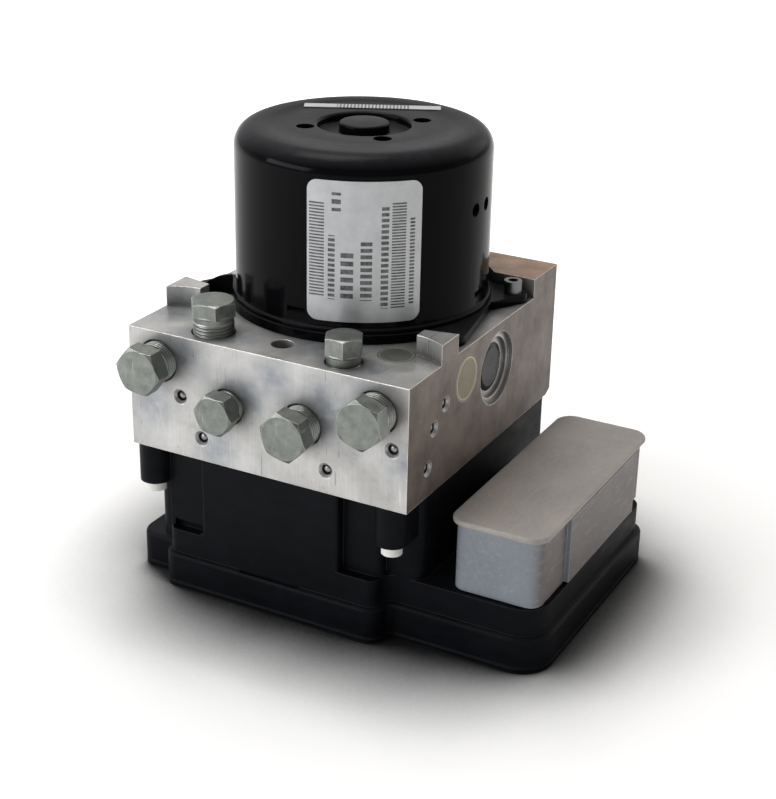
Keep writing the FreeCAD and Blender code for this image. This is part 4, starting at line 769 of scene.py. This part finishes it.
def thread_into(bm, size, pitch, start, turns):
    """Adds one closed helical ridge."""
    root, crest, half = size["root"], size["crest"], pitch * THREAD_FOOT
    core = root - THREAD_SINK
    outline = [(core, -half), (root, -half), (crest, -THREAD_FLAT), (crest, THREAD_FLAT), (root, half),
               (core, half)]
    verts = [bm.verts.new((r * MM, 0, (start + z) * MM)) for r, z in outline]
    face = bm.faces.new(verts)
    bmesh.ops.spin(bm, geom=[face] + list(face.edges) + verts, cent=(0, 0, 0), axis=(0, 0, 1),
                   dvec=(0, 0, pitch * MM / THREAD_STEPS), angle=2 * pi * turns,
                   steps=THREAD_STEPS * turns, use_merge=False)


def shank_profile(size):
    """Outline of a plug's shank and smooth neck, from its tip up to the head's foot."""
    neck, bare, tip = size["neck"], size["neck"] - size["bare"], -SHANK_DEPTH - SHANK_TIP
    root, smooth = size["root"] + SHANK_OVER, size["crest"] - NECK_UNDER
    collar, top = smooth + NECK_EDGE, neck + HEAD_SINK
    return [(0, tip), (root - SHANK_TIP, tip), (root, -SHANK_DEPTH), (root, bare - NECK_RAMP),
            (smooth, bare), (smooth, neck - NECK_EDGE), (collar, neck), (collar, top), (0, top)]


def plug_into(bm, size, plugs, place, outward, turn):
    """Adds one plug: hexagon head, smooth neck and threaded shank."""
    part = bmesh.new()
    part.from_mesh(hex_head(size, plugs.slope))
    bmesh.ops.translate(part, vec=(0, 0, size["neck"] * MM), verts=part.verts)
    lathe(part, shank_profile(size), PLUG_STEPS, ring=False)
    pitch = plugs.pitch / MM
    turns = int((SHANK_DEPTH + size["neck"] - size["bare"]) / pitch)
    thread_into(part, size, pitch, THREAD_START - SHANK_DEPTH, turns)
    placed(part, place, outward, turn)
    temporary = mesh_of(part, "plug")
    bm.from_mesh(temporary)
    bpy.data.meshes.remove(temporary)


class MODULE_OT_port_plugs(bpy.types.Operator):
    """Make the zinc-plated port plugs with chamfered heads and threaded necks"""
    bl_idname = "module.port_plugs"
    bl_label = "Port Plugs"

    def execute(self, context):
        plugs = context.scene.plug_settings
        plating = plated_steel("zinc_plating", tuple(plugs.plating))
        for node, base, places in PLUG_NODES:
            bm = bmesh.new()
            for place, outward, turn, other in places:
                plug_into(bm, {**base, **other}, plugs, place, outward, turn)
            bmesh.ops.recalc_face_normals(bm, faces=bm.faces)
            piece = finished(mesh_of(bm, node + "_threaded"), node + "_threaded", plating, ROOT,
                             crease=20)
            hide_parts(node)
        return {"FINISHED"}


# Labels

LABEL_ANGLES = (-85.0, -36.0)
LABEL_LEVELS = (low_corner("side_label")[2], high_corner("side_label")[2])
LABEL_CORNER = 3.0
LABEL_LIFT = 0.14
LABEL_FOIL = 0.8 * LABEL_LIFT       # thickness of the foil, the rest keeps it off the can
BEND_STEPS = 40
TOP_LABEL_AT = (-7.2, 18.0)
TOP_LABEL_TURN = 27.0
TOP_LABEL_HALF = 20.5
FOIL_METAL = 0.42

# Plain stripes in shares of a label: from and to across, from and to upward, period, inked share
SIDE_STRIPES = (
    ((0.02, 0.155), (0.17, 0.85), 0.0225, 0.52), ((0.735, 0.86), (0.10, 0.86), 0.0205, 0.55),
    ((0.19, 0.25), (0.16, 0.62), 0.036, 0.62), ((0.22, 0.30), (0.79, 0.92), 0.060, 0.55),
    ((0.30, 0.41), (0.17, 0.52), 0.058, 0.60), ((0.47, 0.57), (0.16, 0.58), 0.046, 0.62),
    ((0.645, 0.71), (0.10, 0.84), 0.040, 0.62), ((0.895, 0.94), (0.12, 0.74), 0.025, 0.60),
)
TOP_STRIPES = (((0.0, 1.0), (0.24, 0.78), 0.026, 0.5),)


def column(f, across, up, stripes):
    """1 on the ink of one column of stripes."""
    *ranges, period, share = stripes
    inside = 1.0
    for place, (start, end) in zip((across, up), ranges):
        inside = f.math("MULTIPLY", inside, f.math("GREATER_THAN", place, start))
        inside = f.math("MULTIPLY", inside, f.math("LESS_THAN", place, end))
    phase = f.math("FRACT", f.math("DIVIDE", up, period))
    return f.math("MULTIPLY", inside, f.math("LESS_THAN", phase, share))


def striped_foil(name, foil, ink, across, up, columns):
    """Foil with fine creases and columns of plain stripes."""
    f = Finish(name, rough=0.33)
    across, up = across(f), up(f)
    inked = 0.0
    for stripes in columns:
        inked = f.math("MAXIMUM", inked, column(f, across, up, stripes))
    cloud = f.noise(5, detail=6, rough=0.65)
    tone = f.blend(f.span(cloud, 0.3, 0.7), shade(foil, 0.90), shade(foil, 1.10))
    worn = f.span(f.noise(1.6, detail=6, rough=0.7), 0.40, 0.60, 0.80, 1.0)
    f.set(Base_Color=f.blend(f.math("MULTIPLY", inked, worn), tone, ink))
    f.set(Metallic=f.math("MULTIPLY", f.math("SUBTRACT", 1.0, inked), FOIL_METAL))
    f.bump(f.noise(4.0, detail=6, rough=0.6), 0.15)
    return f.material


def angle_across(f):
    """Share of the way across the side label, from its left edge."""
    x, y, _ = f.axes()
    turn = f.math("ARCTAN2", y, x)
    return f.span(turn, radians(LABEL_ANGLES[0]), radians(LABEL_ANGLES[1]))


def height_up(f):
    """Share of the way up the side label."""
    return f.span(f.axes()[2], LABEL_LEVELS[0] * MM, LABEL_LEVELS[1] * MM)


def bent_label(radius):
    """Rounded foil patch wrapped round the can."""
    bm = bmesh.new()
    half = radians(LABEL_ANGLES[1] - LABEL_ANGLES[0]) / 2 * radius
    low, high = (level * MM for level in LABEL_LEVELS)
    bmesh.ops.create_grid(bm, x_segments=1, y_segments=1, size=1)
    bmesh.ops.transform(bm, verts=bm.verts, matrix=Matrix.Translation((0, (low + high) / 2, 0))
                        @ Matrix.Diagonal((half, (high - low) / 2, 1, 1)))
    bmesh.ops.bevel(bm, geom=bm.verts[:], offset=LABEL_CORNER * MM, segments=8, profile=0.5,
                    affect="VERTICES", material=-1)
    for i in range(1, BEND_STEPS):
        cut = half * (2 * i / BEND_STEPS - 1)
        bmesh.ops.bisect_plane(bm, geom=bm.verts[:] + bm.edges[:] + bm.faces[:], dist=1e-7,
                               plane_co=(cut, 0, 0), plane_no=(1, 0, 0))
    middle = radians(sum(LABEL_ANGLES) / 2)
    for vert in bm.verts:
        turn = middle + vert.co.x / radius
        vert.co = (radius * cos(turn), radius * sin(turn), vert.co.y)
    bmesh.ops.recalc_face_normals(bm, faces=bm.faces)
    if bm.faces[0].normal.dot(bm.faces[0].calc_center_median() * Vector((1, 1, 0))) < 0:
        bmesh.ops.reverse_faces(bm, faces=bm.faces)
    bmesh.ops.solidify(bm, geom=bm.faces[:], thickness=-LABEL_FOIL * MM)
    bmesh.ops.recalc_face_normals(bm, faces=bm.faces)
    return mesh_of(bm, "side_label_foil")


def along_strip(f):
    """Share of the way along the top label."""
    x, y, _ = f.axes()
    turn = radians(TOP_LABEL_TURN)
    run = f.math("ADD", f.math("MULTIPLY", f.math("SUBTRACT", x, TOP_LABEL_AT[0] * MM), cos(turn)),
                 f.math("MULTIPLY", f.math("SUBTRACT", y, TOP_LABEL_AT[1] * MM), sin(turn)))
    return f.span(run, -TOP_LABEL_HALF * MM, TOP_LABEL_HALF * MM)


class MODULE_OT_labels(bpy.types.Operator):
    """Lay the foil labels, with plain stripes, on the can's wall and top"""
    bl_idname = "module.labels"
    bl_label = "Labels"

    def execute(self, context):
        labels = context.scene.label_settings
        foil, ink = tuple(labels.foil), tuple(labels.print_colour)
        radius = context.scene.motor_settings.can_radius + LABEL_LIFT * MM
        striped = striped_foil("side_label_stripes", foil, ink, angle_across, height_up, SIDE_STRIPES)
        side = finished(bent_label(radius), "side_label_foil", striped, ROOT, crease=60)
        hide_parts("side_label")
        strip = striped_foil("top_label_stripes", shade(foil, 1.25), ink, lambda f: 0.5, along_strip,
                             TOP_STRIPES)
        dress(strip, "top_label")
        return {"FINISHED"}


# Finishes of the pieces that keep their construction shape

# Middle of each disc's outer face and its radius, in mm
DAMPER_DISC = ((SIDE_X, -20.5, 74.5), 6.8)
TOP_DISC = ((31.2, -36.4, MILL_Z), 5.3)


class MODULE_OT_block_finish(bpy.types.Operator):
    """Give the valve block and what is pressed or screwed into it their metals"""
    bl_idname = "module.block_finish"
    bl_label = "Valve Block Finish"

    def execute(self, context):
        block = context.scene.block_settings
        dress(milled_metal("milled_block", tuple(block.metal), block.edge_width), "valve_block")
        dress(turned_steel("ball_steel", (0.26, 0.26, 0.265), rough=0.34), "ball_plugs")
        dress(pressed_disc("olive_disc", (0.205, 0.178, 0.122), *DAMPER_DISC), "damper_disc")
        dress(pressed_disc("grey_disc", (0.21, 0.22, 0.20), *TOP_DISC, rough=0.4), "top_disc")
        dress(plain_plastic("dark_pump_seal", (0.012, 0.013, 0.014), rough=0.25, gloss=0.12), "pump_plugs")
        dress(turned_steel("bright_screw", (0.17, 0.17, 0.165), rough=0.40), "motor_screws")
        dress(turned_steel("cap_steel", (0.52, 0.52, 0.50), rough=0.35), "accumulator_caps")
        return {"FINISHED"}


class MODULE_OT_controller_finish(bpy.types.Operator):
    """Give the controller, its screws, its seals and the connector cap their plastics"""
    bl_idname = "module.controller_finish"
    bl_label = "Controller Finish"

    def execute(self, context):
        controller = context.scene.controller_settings
        plastic = moulded_plastic("black_moulding", tuple(controller.plastic))
        dress(plastic, "controller_housing", "controller_cover")
        dress(milky_plastic("milky_cap", tuple(controller.cap)), "connector_cap")
        dress(plain_plastic("white_screw_coat", (0.74, 0.73, 0.68), rough=0.35), "controller_screws")
        dress(plain_plastic("black_gasket", (0.02, 0.02, 0.02), rough=0.7), "controller_gasket", "motor_seal")
        return {"FINISHED"}


SIDES = ("left", "right")


def pair(name):
    """Names of the left and the right one."""
    return [name + "_" + side for side in SIDES]


# What each pair of springs presses on
SPRINGS = (("pump_spring", "pump_piston"), ("accumulator_spring", "accumulator_piston"),
           ("brush_spring", "carbon_brush"))


class MODULE_OT_springs(bpy.types.Operator):
    """Copy each coil spring's own coils into a still piece that takes the place of its node"""
    bl_idname = "module.springs"
    bl_label = "Springs"

    def execute(self, context):
        wire = turned_steel("spring_wire", (0.36, 0.37, 0.39), rough=0.30)
        for spring, pressing in SPRINGS:
            for node, body in zip(pair(spring), pair(pressing)):
                self.coil(node, body, wire)
        return {"FINISHED"}

    def coil(self, node, body, wire):
        """The node's own coils, linked as one still piece in place of the node."""
        bm = bmesh.new()
        bm.from_mesh(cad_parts[node].data)
        bmesh.ops.remove_doubles(bm, verts=bm.verts, dist=DOUBLE)
        bmesh.ops.recalc_face_normals(bm, faces=bm.faces)
        piece = linked(mesh_of(bm, node + "_coils"), node + "_coils", wire, crease=50)
        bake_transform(piece)
        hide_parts(node)


TAPPETS = [kind + "_tappet_" + str(i) for kind in ("inlet", "outlet") for i in (1, 2, 3, 4)]


class MODULE_OT_inner_finish(bpy.types.Operator):
    """Give the pieces inside the motor, the block and the controller their materials"""
    bl_idname = "module.inner_finish"
    bl_label = "Inner Finish"

    def execute(self, context):
        dress(turned_steel("ground_steel", (0.66, 0.66, 0.67), rough=0.22), "motor_shaft", "eccentric_ring",
              *pair("pump_piston"), *TAPPETS)
        dress(turned_steel("plain_steel", (0.45, 0.45, 0.46), rough=0.38), "pump_sleeves", "inlet_valves",
              "outlet_valves", "coil_yokes", *pair("accumulator_piston"))
        dress(wound_copper("winding_copper", (0.70, 0.30, 0.16)), "armature_winding", "coil_windings")
        dress(turned_steel("commutator_copper", (0.72, 0.38, 0.24), rough=0.30), "commutator")
        dress(turned_steel("sintered_bronze", (0.52, 0.36, 0.19), rough=0.48), "flange_bush", "top_bush")
        dress(turned_steel("tinned_pins", (0.72, 0.72, 0.70), rough=0.25), "connector_pins", "lead_pins",
              "coil_pins")
        dress(stacked_sheets("laminations", (0.30, 0.31, 0.33)), "armature_core")
        dress(plain_plastic("ferrite", (0.05, 0.05, 0.055), rough=0.6, size=0.7), "motor_magnets")
        dress(plain_plastic("carbon", (0.03, 0.03, 0.032), rough=0.7), *pair("carbon_brush"))
        dress(plain_plastic("natural_nylon", (0.60, 0.53, 0.38)), "brush_plate", "lead_sleeve")
        dress(plain_plastic("chip_black", (0.025, 0.025, 0.027)), "board_parts")
        dress(board_lacquer("board_green", (0.015, 0.12, 0.05)), "circuit_board")
        return {"FINISHED"}


# Stage

# Camera place in mm and its turns in degrees, fitted to the photograph
CAMERA_AT = (229.73, -416.40, 259.87)
CAMERA_TURN = 27.86
CAMERA_RISE = 23.81
CAMERA_ROLL = 1.19
CAMERA_CLIP = (0.01, 50)
SENSOR = 36.0

# Floor, in metres: half its side, and how far its painted contact shadow reaches
FLOOR_HALF = 6.0
SHADE_REACH = 0.058
SHADE_RANGE = (0.52, 0.95)      # open air from black to the floor's own colour

# Middle of the floor's glow in mm, then from, to in metres and the level that is added
FLOOR_MIDDLE = (15, -12, 0)
GLOW_STEPS = ((0.085, 0.22, 0.45), (0.22, 1.2, 0.6))

# Where reflections see the studio brightest, and how its level climbs: from, to, low, high
BRIGHT_SIDE = (-0.46, 0.81, 0.36)
BRIGHT_RAMP = (-0.5, 0.85, 0.22, 1.0)

# Lamps: name, place, aim and size in metres, watts and colour
LAMPS = (
    ("top_softbox", (-0.30, 0.05, 1.1), (0, 0, 0.06), (0.6, 0.5), 8.5, (1.0, 0.985, 0.96)),
    ("front_softbox", (-0.80, -0.95, 0.42), (0, -0.02, 0.06), (1.0, 0.35), 8.8, (0.95, 0.975, 1.0)),
    ("back_window", (0.5, 1.1, 0.6), (0, 0, 0.1), (0.9, 0.5), 1.5, (1.0, 0.88, 0.76)),
)


def camera_turn():
    """Axes of the camera that stands where the photographer stood."""
    a, e, r = radians(CAMERA_TURN), radians(CAMERA_RISE), radians(CAMERA_ROLL)
    back = Vector((sin(a) * cos(e), -cos(a) * cos(e), sin(e)))
    right = UP.cross(back).normalized()
    up = back.cross(right)
    across = right * cos(r) + up * sin(r)
    return Matrix((across, up * cos(r) - right * sin(r), back)).transposed()


def lamp(name, at, aim, size, watts, colour):
    light = bpy.data.lights.new(name, "AREA")
    light.shape, light.size, light.size_y = "RECTANGLE", size[0], size[1]
    light.energy, light.color = watts, colour
    holder = bpy.data.objects.new(name, light)
    holder.location = at
    holder.rotation_euler = (Vector(aim) - Vector(at)).to_track_quat("-Z", "Y").to_euler()
    bpy.context.scene.collection.objects.link(holder)


def pale_floor(colour):
    """White floor with a painted shadow that turns it black where the module stands, glowing further out."""
    f = Finish("floor_white", rough=0.8)
    # Painted shadow: the floor's colour goes to black where the module stands close by.
    f.set(Base_Color=f.blend(f.span(f.open_air(SHADE_REACH, 16), *SHADE_RANGE), (0, 0, 0), colour))
    away = f.apart(FLOOR_MIDDLE)
    glow = 0.0
    for begin, end, level in GLOW_STEPS:
        glow = f.math("ADD", glow, f.span(away, begin, end, 0, level))
    f.set(Emission_Color=(1, 1, 1), Emission_Strength=glow)
    return f.material


class MODULE_OT_stage(bpy.types.Operator):
    """Set the pale floor, the soft lamps, the even world and the camera"""
    bl_idname = "module.stage"
    bl_label = "Stage"

    def execute(self, context):
        stage = context.scene.stage_settings
        self.floor(stage)
        self.world(stage)
        for row in LAMPS:
            lamp(*row)
        self.camera(stage)
        context.scene.view_settings.view_transform = "Standard"
        return {"FINISHED"}

    def floor(self, stage):
        bm = bmesh.new()
        bmesh.ops.create_grid(bm, x_segments=1, y_segments=1, size=FLOOR_HALF)
        floor = bpy.data.objects.new("studio_floor", mesh_of(bm, "studio_floor"))
        bpy.context.scene.collection.objects.link(floor)
        floor.data.materials.append(pale_floor(tuple(stage.floor)))

    def camera(self, stage):
        camera = bpy.data.cameras.new("photo_camera")
        camera.lens, camera.sensor_width, camera.sensor_fit = stage.focal, SENSOR, "AUTO"
        camera.clip_start, camera.clip_end = CAMERA_CLIP
        holder = bpy.data.objects.new("photo_camera", camera)
        holder.matrix_world = Matrix.Translation(Vector(CAMERA_AT) * MM) @ camera_turn().to_4x4()
        bpy.context.scene.collection.objects.link(holder)
        bpy.context.scene.camera = holder

    def world(self, stage):
        """Even light on the module, a white surround for the camera and a graded one in reflections."""
        world = bpy.data.worlds.new("even_light")
        bpy.context.scene.world = world
        world.use_nodes = True
        tree = world.node_tree
        tree.nodes.clear()
        out = tree.nodes.new("ShaderNodeOutputWorld")
        lit, shown, seen = (tree.nodes.new("ShaderNodeBackground") for _ in range(3))
        lit.inputs["Strength"].default_value = stage.world
        for shader in (lit, seen):
            shader.inputs["Color"].default_value = (1, 1, 1, 1)
        toward = tree.nodes.new("ShaderNodeVectorMath")
        toward.operation = "DOT_PRODUCT"
        toward.inputs[1].default_value = BRIGHT_SIDE
        tree.links.new(tree.nodes.new("ShaderNodeTexCoord").outputs["Generated"], toward.inputs[0])
        ramp = tree.nodes.new("ShaderNodeMapRange")
        ramp.interpolation_type = "SMOOTHSTEP"
        for socket, value in zip(ramp.inputs[1:5], BRIGHT_RAMP):
            socket.default_value = value
        tree.links.new(toward.outputs["Value"], ramp.inputs[0])
        tree.links.new(ramp.outputs[0], shown.inputs["Strength"])
        path = tree.nodes.new("ShaderNodeLightPath")
        last = lit.outputs[0]
        for ray, shader in (("Is Glossy Ray", shown), ("Is Transmission Ray", seen), ("Is Camera Ray", seen)):
            mix = tree.nodes.new("ShaderNodeMixShader")
            tree.links.new(path.outputs[ray], mix.inputs[0])
            tree.links.new(last, mix.inputs[1])
            tree.links.new(shader.outputs[0], mix.inputs[2])
            last = mix.outputs[0]
        tree.links.new(last, out.inputs[0])


# Panel and registration

PIECES = (
    ("module.motor_can", "motor_settings"),
    ("module.port_plugs", "plug_settings"),
    ("module.labels", "label_settings"),
    ("module.block_finish", "block_settings"),
    ("module.controller_finish", "controller_settings"),
    ("module.springs", None),
    ("module.inner_finish", None),
    ("module.stage", "stage_settings"),
)


class MODULE_PT_pieces(bpy.types.Panel):
    """Pieces of the brake pressure module"""
    bl_idname = "MODULE_PT_pieces"
    bl_label = "Brake Pressure Module"
    bl_space_type = "VIEW_3D"
    bl_region_type = "UI"
    bl_category = "Module"

    def draw(self, context):
        for operator, settings in PIECES:
            box = self.layout.box()
            box.operator(operator)
            if settings:
                group = getattr(context.scene, settings)
                for name in group.__annotations__:
                    box.prop(group, name)


SETTINGS = {
    "motor_settings": MotorSettings,
    "plug_settings": PlugSettings,
    "block_settings": BlockSettings,
    "controller_settings": ControllerSettings,
    "label_settings": LabelSettings,
    "stage_settings": StageSettings,
}
CLASSES = (
    *SETTINGS.values(), MODULE_OT_motor_can, MODULE_OT_port_plugs, MODULE_OT_labels,
    MODULE_OT_block_finish, MODULE_OT_controller_finish, MODULE_OT_springs, MODULE_OT_inner_finish,
    MODULE_OT_stage, MODULE_PT_pieces,
)


def register():
    for cls in CLASSES:
        bpy.utils.register_class(cls)
    for name, group in SETTINGS.items():
        setattr(bpy.types.Scene, name, PointerProperty(type=group))


def unregister():
    for name in SETTINGS:
        delattr(bpy.types.Scene, name)
    for cls in reversed(CLASSES):
        bpy.utils.unregister_class(cls)


def main():
    register()
    for operator, _ in PIECES:
        group, name = operator.split(".")
        getattr(getattr(bpy.ops, group), name)()


if __name__ == "__main__":
    main()
